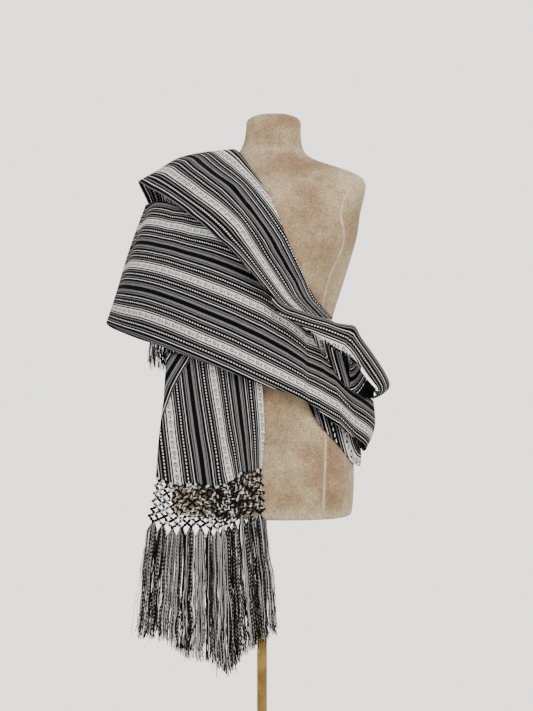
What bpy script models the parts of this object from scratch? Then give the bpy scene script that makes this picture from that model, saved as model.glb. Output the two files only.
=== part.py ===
"""A striped rebozo shawl wound round a limbless dress form on a brass pole.

Metres, +Z up. The form faces -Y and stands on a round base whose underside is
at the origin. The shawl is one long cloth: it hangs at the front left, goes
over the left shoulder and down the back, round the right hip, across the
front and round the empty left arm, across the back, round the right hip
again and up the front to the left shoulder, where its other end hangs inside
the arm loop. Each stretch that shows is a wall of its own, lofted between the
rows of a table. A row is one section across the cloth, from its upper edge to
its lower edge, and every wall is lifted clear of the form and of the walls
that lie under it.
"""

import math
from collections import namedtuple

import bmesh
import bpy
import numpy as np
from mathutils import Vector
from mathutils.bvhtree import BVHTree

# Cloth
WALL = 0.0016  # thickness of every cloth wall
SEAM_GAP = 0.0005  # parting between stretches of the same cloth
FORM_CLEARANCE = 0.0019  # from the form's skin to the middle of a wall
LAYER_PITCH = 0.0034  # between the middles of two walls that lie on each other
SEATED_PITCH = 0.0022  # the same, where a wall is carried by the one under it
DRAPE_TURN = math.radians(20.0)  # the drape's own left-right axis, turned about Z
DRAPE_SIDE = Vector((math.cos(DRAPE_TURN), math.sin(DRAPE_TURN), 0.0))
DRAPE_FRONT = Vector((math.sin(DRAPE_TURN), -math.cos(DRAPE_TURN), 0.0))
UP = Vector((0.0, 0.0, 1.0))
CM = 0.01  # the drape tables are in centimetres
SEARCH_REACH = 0.06  # how deep under a layer a point may start and still be drawn out
LIFT_REACH = 0.02  # how deep one may lie and still be lifted along the layer's normal
NEAR_REACH = 0.005  # the same, for a wall that stands loose over the layer
EDGE_REACH = 0.010  # how far past a layer's edge a wall over it stays lifted
EDGE_SLOPE = 0.3  # how much further for each metre that a point lies deep
FACING_SHARE = 0.35  # a layer's face is drawn over only where it faces forward so much
SETTLE_PASSES = 9
LAST_LIFTS = 1  # the passes at the end that lift only, with no evening out
SPAN_PROBES = (0.25, 0.5, 0.75)  # places tested along a span between two points
# What other walls lie on: its search tree, how clear of it they are kept, and
# how deep under it a point is still lifted along its normal
Layer = namedtuple("Layer", "tree clearance reach")

# Dress form, in metres. Each ring is a level section of the padded body. The
# chest and neck stand a little aside, because the form leans on its pole.
Ring = namedtuple("Ring", "height half_width half_depth set_back aside")
FORM_RINGS = (
    Ring(0.742, 0.164, 0.114, 0.000, 0.000),
    Ring(0.750, 0.171, 0.121, 0.000, 0.000),
    Ring(0.806, 0.175, 0.125, 0.000, 0.000),
    Ring(0.880, 0.172, 0.123, 0.000, 0.000),
    Ring(0.960, 0.158, 0.113, 0.000, 0.000),
    Ring(1.040, 0.140, 0.101, 0.000, 0.000),
    Ring(1.100, 0.132, 0.094, 0.000, 0.001),
    Ring(1.160, 0.1475, 0.100, -0.003, 0.004),
    Ring(1.215, 0.165, 0.114, -0.010, 0.006),
    Ring(1.262, 0.177, 0.121, -0.012, 0.008),
    Ring(1.305, 0.181, 0.113, -0.002, 0.008),
    Ring(1.340, 0.189, 0.100, 0.010, 0.006),
    Ring(1.360, 0.190, 0.089, 0.018, 0.005),
    Ring(1.374, 0.180, 0.080, 0.024, 0.005),
    Ring(1.387, 0.154, 0.072, 0.028, 0.005),
    Ring(1.399, 0.120, 0.065, 0.032, 0.005),
    Ring(1.411, 0.088, 0.060, 0.035, 0.005),
    Ring(1.425, 0.065, 0.056, 0.039, 0.0055),
    Ring(1.446, 0.0545, 0.053, 0.044, 0.0055),
    Ring(1.470, 0.0515, 0.051, 0.048, 0.0055),
    Ring(1.486, 0.0510, 0.0505, 0.050, 0.0055),
    Ring(1.495, 0.0445, 0.044, 0.052, 0.0055),
    Ring(1.500, 0.0310, 0.031, 0.052, 0.0055),
)
FORM_SIDES = 32
FORM_ROUNDNESS = 2.25  # 2 is an ellipse, more is squarer

# Stand
POLE_RADIUS = 0.0095
BASE_RADIUS = 0.175
BASE_EDGE_HEIGHT = 0.008
BASE_HEIGHT = 0.014
HUB_RADIUS = 0.021
HUB_HEIGHT = 0.038
TURNED_STEPS = 40

# Drape tables. Columns are the upper edge's place across the drape, its
# height and its reach towards the front, the same three for the lower edge,
# and the bow: how far the section's middle stands out from the line between
# its edges. Centimetres.
Row = namedtuple("Row", "up_x up_z up_out low_x low_z low_out bow")

FRONT_BAND = (  # from the hem behind the left shoulder down to the right waist
    Row(-9.4, 136.0, -13.0, -21.0, 130.6, -10.6, 0.2),
    Row(-7.2, 140.2, -10.2, -22.6, 134.6, -9.2, 0.5),
    Row(-5.9, 143.4, -6.4, -23.6, 137.2, -7.0, 0.9),
    Row(-4.4, 142.4, -2.2, -21.9, 136.0, -3.4, 0.9),
    Row(-2.3, 139.2, 1.6, -18.6, 134.1, 0.6, 0.8),
    Row(-0.3, 136.0, 4.8, -15.0, 131.5, 4.6, 0.7),
    Row(1.6, 132.6, 7.4, -11.5, 128.7, 8.6, 0.6),
    Row(3.1, 129.0, 9.6, -8.3, 125.8, 11.4, 0.5),
    Row(4.6, 125.0, 11.4, -5.3, 122.9, 13.4, 0.4),
    Row(6.4, 121.0, 11.8, -2.5, 119.8, 14.4, 0.4),
    Row(8.0, 117.6, 11.4, 0.2, 116.5, 14.9, 0.3),
    Row(9.8, 114.4, 10.6, 3.4, 113.5, 15.0, 0.3),
    Row(12.9, 110.8, 8.4, 6.8, 110.6, 13.6, 0.3),
)
HIP_COWL = (  # from the waist out over the right hip, where it gathers behind
    Row(2.3, 114.6, 15.0, 1.5, 113.8, 15.0, 0.0),
    Row(4.4, 113.0, 15.2, 3.1, 111.6, 15.4, 0.2),
    Row(7.6, 111.9, 16.2, 5.7, 110.0, 17.0, 0.2),
    Row(10.2, 111.0, 15.6, 8.0, 108.7, 17.0, 0.3),
    Row(12.9, 110.4, 14.6, 10.3, 107.3, 16.6, 0.4),
    Row(15.2, 109.5, 13.4, 12.9, 105.7, 16.0, 0.5),
    Row(16.9, 108.5, 12.4, 15.6, 104.2, 14.9, 0.3),
    Row(19.4, 105.5, 11.0, 17.6, 102.4, 13.6, 0.4),
    Row(21.9, 102.0, 9.2, 19.5, 100.1, 12.0, 0.4),
    Row(23.5, 99.0, 7.2, 21.3, 98.1, 9.6, 0.2),
    Row(22.9, 97.4, 4.6, 20.9, 96.4, 6.4, 0.2),
    Row(20.9, 97.6, 1.4, 19.9, 96.0, 2.4, 0.2),
)
COWL_POCKET = (  # the cup inside the cowl, from its mouth down to the wrap
    Row(10.6, 106.8, 15.9, 11.3, 104.2, 11.6, -0.2),
    Row(12.9, 105.2, 15.3, 13.1, 101.2, 10.8, -0.8),
    Row(15.5, 103.7, 14.2, 15.1, 98.4, 9.6, -1.1),
    Row(17.4, 101.9, 12.9, 16.9, 97.3, 8.3, -1.0),
    Row(19.2, 99.6, 11.4, 18.6, 96.3, 6.7, -0.6),
    Row(20.9, 97.9, 9.2, 20.3, 96.1, 4.6, -0.2),
)
HIP_UNDERLAYER = (  # the band's inner side, steep under the wrap, to the hip
    Row(12.2, 109.8, 9.4, 6.8, 110.6, 12.4, 0.2),
    Row(15.0, 107.4, 7.6, 7.4, 106.2, 12.8, 0.3),
    Row(16.8, 105.4, 6.4, 7.7, 101.0, 12.8, 0.3),
    Row(17.8, 103.8, 5.2, 8.3, 95.6, 12.8, 0.3),
    Row(18.3, 102.6, 4.0, 10.5, 91.5, 12.2, 0.3),
    Row(18.5, 101.8, 2.8, 13.5, 88.0, 10.2, 0.3),
    Row(18.5, 101.2, 1.4, 17.1, 83.4, 5.6, 0.4),
)
WRAP_FRONT = (  # from the left arm's fold across the front to the right hip
    Row(-21.6, 133.2, -5.2, -30.0, 110.4, -4.6, 0.0),
    Row(-19.8, 133.4, -1.6, -26.9, 108.9, 0.4, 1.6),
    Row(-15.8, 132.0, 3.0, -22.4, 107.3, 5.6, 1.8),
    Row(-11.8, 129.2, 6.8, -17.2, 105.4, 9.6, 1.4),
    Row(-8.0, 125.6, 9.4, -11.4, 103.2, 12.6, 0.9),
    Row(-4.0, 121.4, 11.2, -5.6, 101.0, 14.0, 0.5),
    Row(0.0, 117.0, 12.2, 0.2, 98.8, 14.6, 0.4),
    Row(4.2, 112.6, 12.4, 4.8, 97.2, 14.6, 0.4),
    Row(7.6, 109.2, 12.2, 8.6, 95.4, 14.2, 0.4),
    Row(10.4, 105.2, 12.0, 11.6, 93.0, 13.2, 0.4),
    Row(12.9, 102.0, 11.4, 14.3, 90.9, 11.6, 0.4),
    Row(15.6, 99.4, 10.2, 17.0, 89.0, 9.2, 0.5),
    Row(18.6, 97.4, 8.0, 19.2, 87.3, 6.2, 0.6),
    Row(20.7, 95.6, 4.6, 19.8, 86.0, 2.6, 0.8),
    Row(20.5, 95.6, 0.4, 19.2, 86.2, -0.6, 0.6),
)
BACK_BAND = (  # from the right hip up the back to the left shoulder
    Row(20.2, 96.2, -0.6, 18.9, 86.4, -1.2, 0.6),
    Row(18.0, 99.8, -6.2, 17.4, 88.2, -6.0, 0.6),
    Row(13.6, 105.6, -10.4, 14.6, 92.2, -9.8, 0.5),
    Row(8.4, 112.6, -12.8, 11.4, 98.2, -12.0, 0.5),
    Row(4.0, 120.0, -13.8, 7.4, 105.4, -13.8, 0.4),
    Row(0.8, 127.0, -13.4, 2.4, 113.8, -14.8, 0.4),
    Row(-1.6, 133.4, -12.0, -3.2, 122.4, -15.4, 0.4),
    Row(-3.2, 138.6, -9.6, -7.0, 131.0, -14.0, 0.3),
    Row(-4.8, 141.2, -7.0, -10.4, 138.0, -10.4, 0.2),
)
WRAP_BACK = (  # from the left arm's fold across the back to the right hip
    Row(-21.6, 133.2, -5.26, -30.0, 110.4, -4.66, 0.0),
    Row(-22.6, 133.2, -9.8, -29.2, 109.4, -9.2, 0.8),
    Row(-19.6, 131.8, -14.2, -24.6, 107.4, -13.4, 1.4),
    Row(-14.4, 129.6, -16.2, -17.6, 105.0, -15.6, 1.0),
    Row(-7.2, 126.2, -16.4, -9.2, 101.2, -15.6, 0.5),
    Row(0.2, 121.4, -14.8, -1.0, 96.6, -14.6, 0.3),
    Row(7.0, 115.4, -12.4, 6.6, 92.6, -12.8, 0.3),
    Row(12.6, 109.0, -9.0, 13.2, 88.4, -9.4, 0.4),
    Row(16.9, 103.8, -4.0, 17.6, 84.6, -4.0, 0.4),
    Row(18.4, 101.2, 0.6, 18.4, 82.9, 1.0, 0.3),
)
HANGING_END = (  # from the left shoulder down inside the wrap to the front hem
    Row(-5.4, 140.6, -4.6, -13.0, 136.9, -7.2, 0.2),
    Row(-4.6, 138.0, -0.6, -13.4, 134.4, -2.8, 0.3),
    Row(-3.6, 132.8, 4.6, -13.9, 128.8, 2.8, 0.4),
    Row(-2.8, 126.2, 8.6, -14.6, 122.0, 6.4, 0.5),
    Row(-1.8, 118.0, 10.8, -15.6, 114.6, 8.0, 0.6),
    Row(-0.6, 108.6, 12.4, -16.6, 107.6, 9.6, 0.6),
    Row(0.1, 98.4, 12.8, -17.4, 99.8, 10.2, 0.6),
    Row(0.5, 90.6, 12.8, -18.3, 93.0, 10.4, 0.5),
    Row(0.3, 86.0, 12.8, -18.9, 87.6, 10.6, 0.4),
    Row(0.1, 82.3, 12.8, -19.3, 81.7, 10.8, 0.3),
)
HANGING_FLAP = (  # the corner turned over along the hanging end's left edge
    Row(-12.6, 104.0, 10.4, -17.3, 104.6, 10.0, 0.0),
    Row(-15.4, 99.4, 10.2, -17.6, 99.6, 10.1, 0.0),
    Row(-17.0, 95.6, 10.2, -17.9, 95.4, 10.2, 0.0),
    Row(-17.9, 93.0, 10.2, -18.3, 92.9, 10.3, 0.0),
)

# Knotted nets under the two hems: columns and rows of diamond gaps
NET_HEIGHT = 0.068
GAP_SHARE = 0.62  # of each diamond that is open
FRONT_NET = (14, 4)
BACK_NET = (8, 3)
NET_SEAM = 0.0010  # parting between a hem, its net and its fringe's strip

# Fringes
STRIP_HEIGHT = 0.005
STRIP_DEPTH = 0.0056
LOCK_SHARE = 1.25  # a lock's width in cells of the strip
LOCK_LEVELS = (0.10, 0.36, 0.68, 1.0)  # places of a lock's sections down its length
LOCK_TAPER = (1.0, 1.05, 0.95, 0.35)
FRONT_LOCKS = 100
BACK_LOCKS = 36
Tip = namedtuple("Tip", "share height")
FRONT_TIPS = (
    Tip(0.00, 0.533),
    Tip(0.18, 0.526),
    Tip(0.36, 0.496),
    Tip(0.52, 0.487),
    Tip(0.66, 0.462),
    Tip(0.80, 0.505),
    Tip(0.93, 0.524),
    Tip(1.00, 0.540),
)
BACK_TIPS = (Tip(0.00, 1.024), Tip(0.25, 1.018), Tip(0.60, 1.034), Tip(1.00, 1.060))
FRONT_SPREAD = 0.16  # how much wider a fringe is at its tips, as a share
BACK_SPREAD = 0.18
WAVE_HEIGHT = 0.004
WAVE_DRIFT = 0.8  # turns that a wave moves on from the roots to the tips
TUFTS = 7  # locks of a fringe gather into this many waves across
TIP_SPREAD = 0.006  # how far the tips of neighbouring locks differ in height
GOLDEN_SHARE = 0.618  # steps through that spread with no visible order
ROW_PARTING = 0.0026  # how far the front and back rows of locks stand apart

# Finishes: name, colour as linear RGB, roughness, metallic
Finish = namedtuple("Finish", "name colour roughness metallic")
SHAWL_CLOTH = Finish("black_and_white_striped_cotton", (0.055, 0.055, 0.060), 0.85, 0.0)
NET_CORD = Finish("twisted_cotton_cord", (0.22, 0.22, 0.22), 0.80, 0.0)
FORM_COVER = Finish("natural_linen", (0.47, 0.38, 0.25), 0.90, 0.0)
POLE_BRASS = Finish("lacquered_brass", (0.58, 0.39, 0.13), 0.28, 1.0)
BASE_ENAMEL = Finish("black_enamel", (0.020, 0.018, 0.016), 0.42, 0.0)


def material(finish):
    """Returns the Principled material of that finish, made once."""
    made = bpy.data.materials.get(finish.name)
    if made:
        return made
    made = bpy.data.materials.new(finish.name)
    made.use_nodes = True
    shader = made.node_tree.nodes["Principled BSDF"]
    shader.inputs["Base Color"].default_value = (*finish.colour, 1.0)
    shader.inputs["Roughness"].default_value = finish.roughness
    shader.inputs["Metallic"].default_value = finish.metallic
    return made


def add_piece(name, bm, finish, parts):
    """Turns the bmesh into a named, smooth-shaded object of the collection."""
    mesh = bpy.data.meshes.new(name)
    bm.to_mesh(mesh)
    bm.free()
    mesh.shade_smooth()
    piece = bpy.data.objects.new(name, mesh)
    piece.data.materials.append(material(finish))
    parts.objects.link(piece)
    return piece


def drape_point(across, height, out):
    """Turns a place in the drape's own axes, in centimetres, into the frame."""
    return (DRAPE_SIDE * across + DRAPE_FRONT * out + UP * height) * CM


def smooth_line(points, count):
    """Returns count points evenly spaced by index on a curve through points."""
    ends = [2 * points[0] - points[1], *points, 2 * points[-1] - points[-2]]
    line = []
    for step in range(count):
        at = step / (count - 1) * (len(points) - 1)
        i = min(int(at), len(points) - 2)
        t = at - i
        a, b, c, d = ends[i : i + 4]
        curve = 2 * b + (c - a) * t + (2 * a - 5 * b + 4 * c - d) * t**2
        line.append(0.5 * (curve + (3 * b - a - 3 * c + d) * t**3))
    return line


def grid_normals(grid):
    """Returns the unit normal at each point of a grid of vectors."""
    spots = np.array([[tuple(p) for p in row] for row in grid])
    along = np.gradient(spots, axis=0)
    across = np.gradient(spots, axis=1)
    normals = np.cross(along, across)
    return normals / np.maximum(np.linalg.norm(normals, axis=2, keepdims=True), 1e-12)


def loft_rows(rows, along, across):
    """Lofts a wall's middle surface through the rows of a drape table.

    A section runs from either edge to the other, so that the normals point
    away from the form's axis, which is the side that a positive bow stands to.
    """
    upper = smooth_line([drape_point(r.up_x, r.up_z, r.up_out) for r in rows], along)
    lower = smooth_line([drape_point(r.low_x, r.low_z, r.low_out) for r in rows], along)
    bows = smooth_line([Vector((r.bow * CM, 0.0, 0.0)) for r in rows], along)
    shares = [i / (across - 1) for i in range(across)]
    grid = [[a.lerp(b, s) for s in shares] for a, b in zip(upper, lower)]
    normals = grid_normals(grid)
    level = np.array([[(p.x, p.y, 0.0) for p in row] for row in grid])
    inward = float((normals * level).sum()) < 0
    side = -1 if inward else 1
    for i, row in enumerate(grid):
        for j, share in enumerate(shares):
            row[j] += Vector(normals[i, j]) * side * bows[i].x * math.sin(math.pi * share)
    return [row[::-1] for row in grid] if inward else grid


def grid_faces(along, across):
    """Lists a grid's quads by point number, facing the side of its normals."""
    faces = []
    for i in range(along - 1):
        for j in range(across - 1):
            k = i * across + j
            faces.append((k, k + across, k + across + 1, k + 1))
    return faces


def tree_of(grid):
    """Returns a search tree of the grid's faces."""
    points = [p for row in grid for p in row]
    return BVHTree.FromPolygons(points, grid_faces(len(grid), len(grid[0])))


def lifted(point, layers):
    """Moves the point out until it is clear of every layer under it."""
    spot = point.copy()
    for layer in layers:
        foot, normal, _, _ = layer.tree.find_nearest(spot, layer.reach)
        if foot is None:
            continue
        rise = (spot - foot).dot(normal)
        aside = (spot - foot - normal * rise).length
        if rise < layer.clearance and aside < EDGE_REACH + EDGE_SLOPE * abs(rise):
            spot += normal * (layer.clearance - rise)
    return spot


def drawn_out(point, layers, facing):
    """Draws a point that lies under a layer straight out to that layer's face."""
    spot = point.copy()
    for layer in layers:
        far = spot + facing * SEARCH_REACH
        foot, normal, _, _ = layer.tree.ray_cast(far, -facing, SEARCH_REACH)
        if foot is not None and normal.dot(facing) > FACING_SHARE:
            spot = foot + facing * layer.clearance
    return spot


def lift_spans(grid, layers):
    """Lifts the points between which a straight edge or diagonal still dips."""
    shifts = [[Vector() for _ in row] for row in grid]
    for i, row in enumerate(grid):
        for j, point in enumerate(row):
            for k, m in ((i, j + 1), (i + 1, j), (i + 1, j + 1), (i + 1, j - 1)):
                if k == len(grid) or m == len(row) or m < 0:
                    continue
                for share in SPAN_PROBES:
                    middle = point.lerp(grid[k][m], share)
                    shift = lifted(middle, layers) - middle
                    for a, b in ((i, j), (k, m)):
                        if shift.length > shifts[a][b].length:
                            shifts[a][b] = shift
    return [[p + s for p, s in zip(*pair)] for pair in zip(grid, shifts)]


def settle(grid, layers, facing=DRAPE_FRONT):
    """Lifts a whole wall clear of the layers, and evens out what was moved."""
    grid = [[drawn_out(p, layers, facing) for p in row] for row in grid]
    start = np.array([[tuple(p) for p in row] for row in grid])
    for turn in range(SETTLE_PASSES):
        grid = [[lifted(p, layers) for p in row] for row in grid]
        grid = lift_spans(grid, layers)
        if turn >= SETTLE_PASSES - LAST_LIFTS:
            continue
        moved = np.array([[tuple(p) for p in row] for row in grid]) - start
        wide = np.pad(moved, ((1, 1), (1, 1), (0, 0)), mode="edge")
        around = (wide[:-2, 1:-1] + wide[2:, 1:-1] + wide[1:-1, :-2] + wide[1:-1, 2:]) / 4
        spots = start + 0.5 * moved + 0.5 * around
        grid = [[Vector(p) for p in row] for row in spots]
    return grid


def add_wall(name, grid, parts):
    """Adds a cloth wall: the grid as an open sheet, thickened both ways."""
    bm = bmesh.new()
    points = [bm.verts.new(p) for row in grid for p in row]
    for face in grid_faces(len(grid), len(grid[0])):
        bm.faces.new([points[k] for k in face])
    wall = add_piece(name, bm, SHAWL_CLOTH, parts)
    thicken(wall, WALL)
    return wall


def thicken(sheet, thickness):
    """Gives an open sheet its thickness, half to each side."""
    solidify = sheet.modifiers.new("thickness", "SOLIDIFY")
    solidify.thickness = thickness
    solidify.offset = 0.0


def ring_points(ring):
    """Returns the points of one level section of the form."""
    points = []
    for i in range(FORM_SIDES):
        angle = 2 * math.pi * i / FORM_SIDES
        c, s = math.cos(angle), math.sin(angle)
        x = math.copysign(abs(c) ** (2 / FORM_ROUNDNESS), c) * ring.half_width
        y = math.copysign(abs(s) ** (2 / FORM_ROUNDNESS), s) * ring.half_depth
        points.append(Vector((x + ring.aside, y + ring.set_back, ring.height)))
    return points


def add_dress_form(parts):
    """Adds the form's body, lofted through its rings, and returns its tree."""
    bm = bmesh.new()
    loops = [[bm.verts.new(p) for p in ring_points(ring)] for ring in FORM_RINGS]
    for low, high in zip(loops, loops[1:]):
        for i in range(FORM_SIDES):
            j = (i + 1) % FORM_SIDES
            bm.faces.new((low[i], low[j], high[j], high[i]))
    bm.faces.new(loops[0][::-1])
    bm.faces.new(loops[-1])
    bm.normal_update()
    tree = BVHTree.FromBMesh(bm)
    add_piece("dress_form", bm, FORM_COVER, parts)
    return tree


def add_turned(name, profile, finish, parts):
    """Adds a round piece whose profile of (radius, height) runs down its outside."""
    bm = bmesh.new()
    points = [bm.verts.new((radius, 0.0, height)) for radius, height in profile]
    for a, b in zip(points, points[1:]):
        bm.edges.new((a, b))
    piece = add_piece(name, bm, finish, parts)
    screw = piece.modifiers.new("turn", "SCREW")
    screw.steps = screw.render_steps = TURNED_STEPS
    screw.use_merge_vertices = True
    screw.merge_threshold = 0.0001
    piece.data.set_sharp_from_angle(angle=math.radians(35))
    return piece


def add_stand(parts):
    """Adds the round base with its hub, and the brass pole up to the form."""
    profile = (
        (0.0, HUB_HEIGHT),
        (HUB_RADIUS - 0.003, HUB_HEIGHT),
        (HUB_RADIUS, HUB_HEIGHT - 0.003),
        (HUB_RADIUS + 0.002, BASE_HEIGHT + 0.006),
        (HUB_RADIUS + 0.010, BASE_HEIGHT),
        (BASE_RADIUS * 0.75, BASE_HEIGHT - 0.002),
        (BASE_RADIUS - 0.004, BASE_EDGE_HEIGHT),
        (BASE_RADIUS, BASE_EDGE_HEIGHT - 0.004),
        (BASE_RADIUS, 0.002),
        (BASE_RADIUS - 0.002, 0.0),
        (0.0, 0.0),
    )
    add_turned("stand_base", profile, BASE_ENAMEL, parts)
    foot = HUB_HEIGHT + SEAM_GAP
    head = FORM_RINGS[0].height - SEAM_GAP
    tube = ((0.0, head), (POLE_RADIUS, head), (POLE_RADIUS, foot), (0.0, foot))
    add_turned("stand_pole", tube, POLE_BRASS, parts)


def on_line(line, share):
    """Returns the point at a share of the way along a line's own points."""
    at = share * (len(line) - 1)
    i = min(int(at), len(line) - 2)
    return line[i].lerp(line[i + 1], at - i)


def add_net(name, top, bottom, gaps, parts):
    """Adds a knotted net between two lines: a wall cut through by diamonds.

    The wall is tiled by whole diamonds, each open in its middle, and by half
    diamonds along its borders, which stay whole.
    """
    columns, rows = gaps
    bm = bmesh.new()
    knots = {}

    def place(u, v):
        return on_line(top, u).lerp(on_line(bottom, u), v)

    def knot(i, j):
        """The lattice's own point, in half columns and half rows."""
        if (i, j) not in knots:
            knots[i, j] = bm.verts.new(place(i / (2 * columns), j / (2 * rows)))
        return knots[i, j]

    for i in range(2 * columns + 1):
        for j in range(2 * rows + 1):
            if (i + j) % 2:
                continue
            ring = [(i - 1, j), (i, j + 1), (i + 1, j), (i, j - 1)]
            inside = [0 <= a <= 2 * columns and 0 <= b <= 2 * rows for a, b in ring]
            if all(inside):
                outer = [knot(a, b) for a, b in ring]
                middle = place(i / (2 * columns), j / (2 * rows))
                inner = [bm.verts.new(middle.lerp(p.co, GAP_SHARE)) for p in outer]
                for k in range(4):
                    m = (k + 1) % 4
                    bm.faces.new((outer[k], outer[m], inner[m], inner[k]))
            elif i % 2 == 0:
                corners = [knot(a, b) for (a, b), there in zip(ring, inside) if there]
                if len(corners) == 2:
                    corners.append(knot(i, j))
                bm.faces.new(corners)
    bmesh.ops.recalc_face_normals(bm, faces=bm.faces)
    net = add_piece(name, bm, NET_CORD, parts)
    thicken(net, WALL)


def tip_height(tips, share):
    """Reads a fringe's tip height at a share of its width."""
    return float(np.interp(share, [t.share for t in tips], [t.height for t in tips]))


def place_section(face, centre, side, front, radius):
    """Moves a lock's three-sided section to its centre and evens out its sides."""
    middle = face.calc_center_median()

    def angle_of(vert):
        """Returns where the point stands round the section's middle."""
        return math.atan2((vert.co - middle).dot(front), (vert.co - middle).dot(side))

    spots = sorted(face.verts, key=angle_of)
    first = angle_of(spots[0])
    for i, vert in enumerate(spots):
        angle = first + 2 * math.pi * i / len(spots)
        vert.co = centre + (side * math.cos(angle) + front * math.sin(angle)) * radius


def add_fringe(name, line, tips, locks, spread, parts):
    """Adds a fringe: three-sided locks drawn out of the underside of a strip.

    Locks stand in two rows, front and back by turns, so that none touches
    another. Each goes down from a corner triangle of its own cell.
    """
    cells = [on_line(line, k / locks) for k in range(locks + 1)]
    width = (cells[-1] - cells[0]).length
    side = (cells[-1] - cells[0]).normalized()
    front = side.cross(UP).normalized()
    down = UP * -STRIP_HEIGHT
    half = front * STRIP_DEPTH / 2
    bm = bmesh.new()
    stations = []
    for spot in cells:
        corners = (spot + half, spot - half, spot + half + down, spot + down, spot - half + down)
        stations.append([bm.verts.new(p) for p in corners])
    roots = []
    for k, (here, there) in enumerate(zip(stations, stations[1:])):
        front_top, back_top, front_low, middle, back_low = range(5)
        for a, b in ((front_top, back_top), (front_low, front_top), (back_top, back_low)):
            bm.faces.new((here[a], here[b], there[b], there[a]))
        if k % 2 == 0:
            roots.append((k, bm.faces.new((here[front_low], there[front_low], here[middle]))))
            bm.faces.new((there[front_low], there[middle], here[middle]))
            bm.faces.new((here[middle], there[middle], there[back_low], here[back_low]))
        else:
            roots.append((k, bm.faces.new((here[back_low], here[middle], there[back_low]))))
            bm.faces.new((here[middle], there[middle], there[back_low]))
            bm.faces.new((here[front_low], there[front_low], there[middle], here[middle]))
    for end in (stations[0], stations[-1]):
        bm.faces.new([end[i] for i in (0, 1, 4, 3, 2)])
    bmesh.ops.recalc_face_normals(bm, faces=bm.faces)
    radius = width / locks * LOCK_SHARE / math.sqrt(3)
    for k, root in roots:
        share = (k + 0.5) / locks
        row = 1 if k % 2 == 0 else -1
        start = root.calc_center_median()
        fall = start.z - tip_height(tips, share) - TIP_SPREAD * (k * GOLDEN_SHARE % 1)
        face = root
        for level, taper in zip(LOCK_LEVELS, LOCK_TAPER):
            wave = WAVE_HEIGHT * math.sin(2 * math.pi * (TUFTS * share + WAVE_DRIFT * level))
            aside = ((share - 0.5) * width * spread + wave) * level
            parting = row * ROW_PARTING * min(level * 3, 1.0)
            centre = start + side * aside + front * parting - UP * fall * level
            face = bmesh.ops.extrude_discrete_faces(bm, faces=[face])["faces"][0]
            place_section(face, centre, side, front, radius * taper)
    add_piece(name, bm, NET_CORD, parts)


def hem_lines(hem, before, height):
    """Returns the top and bottom lines of a net that hangs from a wall's hem.

    The net starts in line with the wall's last two rows, the hem and the one
    before it. Both lines run from the left to the right.
    """
    top = [p + (p - q).normalized() * NET_SEAM for p, q in zip(hem, before)]
    if top[0].x > top[-1].x:
        top.reverse()
    bottom = [p - UP * height for p in top]
    return top, bottom


def add_shawl(form_tree, parts):
    """Adds every stretch of the shawl, from the innermost to the outermost."""
    form = Layer(form_tree, FORM_CLEARANCE, SEARCH_REACH)

    def over(grid, pitch=LAYER_PITCH, reach=LIFT_REACH):
        """Returns a finished wall as a layer that others lie on."""
        return Layer(tree_of(grid), pitch, reach)

    def near(grid):
        """Returns a finished wall as a layer that a loose wall just clears."""
        return over(grid, SEATED_PITCH, NEAR_REACH)

    hanging = settle(loft_rows(HANGING_END, 27, 12), [form])
    underlayer = settle(loft_rows(HIP_UNDERLAYER, 12, 9), [form])
    wrap_back = settle(loft_rows(WRAP_BACK, 18, 11), [form], -DRAPE_FRONT)
    flap = settle(loft_rows(HANGING_FLAP, 6, 4), [form, over(hanging, SEATED_PITCH)])
    wrap_front = settle(
        loft_rows(WRAP_FRONT, 26, 12),
        [form, over(hanging, SEATED_PITCH), over(underlayer), over(flap)],
    )
    back_band = settle(loft_rows(BACK_BAND, 18, 8), [form, over(wrap_back)], -DRAPE_FRONT)
    front_band = settle(
        loft_rows(FRONT_BAND, 24, 11),
        [form, over(hanging), over(underlayer), over(wrap_front), over(back_band)],
    )
    pocket = settle(
        loft_rows(COWL_POCKET, 9, 6), [form, near(underlayer), near(wrap_front)]
    )
    cowl = settle(
        loft_rows(HIP_COWL, 18, 6),
        [form, near(underlayer), near(wrap_front), near(front_band), near(pocket)],
    )
    walls = {
        "hanging_end": hanging,
        "hip_underlayer": underlayer,
        "lower_wrap_back": wrap_back,
        "hanging_flap": flap,
        "lower_wrap_front": wrap_front,
        "back_band": back_band,
        "front_band": front_band,
        "cowl_pocket": pocket,
        "hip_cowl": cowl,
    }
    for name, grid in walls.items():
        add_wall(name, grid, parts)

    top, bottom = hem_lines(hanging[-1], hanging[-2], NET_HEIGHT)
    add_net("net_front", top, bottom, FRONT_NET, parts)
    strip = [p - UP * NET_SEAM for p in bottom]
    add_fringe("fringe_front", strip, FRONT_TIPS, FRONT_LOCKS, FRONT_SPREAD, parts)

    top, bottom = hem_lines(front_band[0], front_band[1], NET_HEIGHT)
    add_net("net_back", top, bottom, BACK_NET, parts)
    strip = [p - UP * NET_SEAM for p in bottom]
    add_fringe("fringe_back", strip, BACK_TIPS, BACK_LOCKS, BACK_SPREAD, parts)


def main():
    """Builds the shawl, its dress form and the stand."""
    for old in list(bpy.data.objects):
        bpy.data.objects.remove(old, do_unlink=True)
    parts = bpy.data.collections.new("rebozo_on_dress_form")
    bpy.context.scene.collection.children.link(parts)
    form_tree = add_dress_form(parts)
    add_stand(parts)
    add_shawl(form_tree, parts)


main()
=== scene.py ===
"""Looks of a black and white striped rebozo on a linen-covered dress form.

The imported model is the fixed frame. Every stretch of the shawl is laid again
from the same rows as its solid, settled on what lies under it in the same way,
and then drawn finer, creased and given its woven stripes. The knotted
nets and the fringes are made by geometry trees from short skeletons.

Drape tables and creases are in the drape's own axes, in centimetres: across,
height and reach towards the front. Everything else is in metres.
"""

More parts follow.
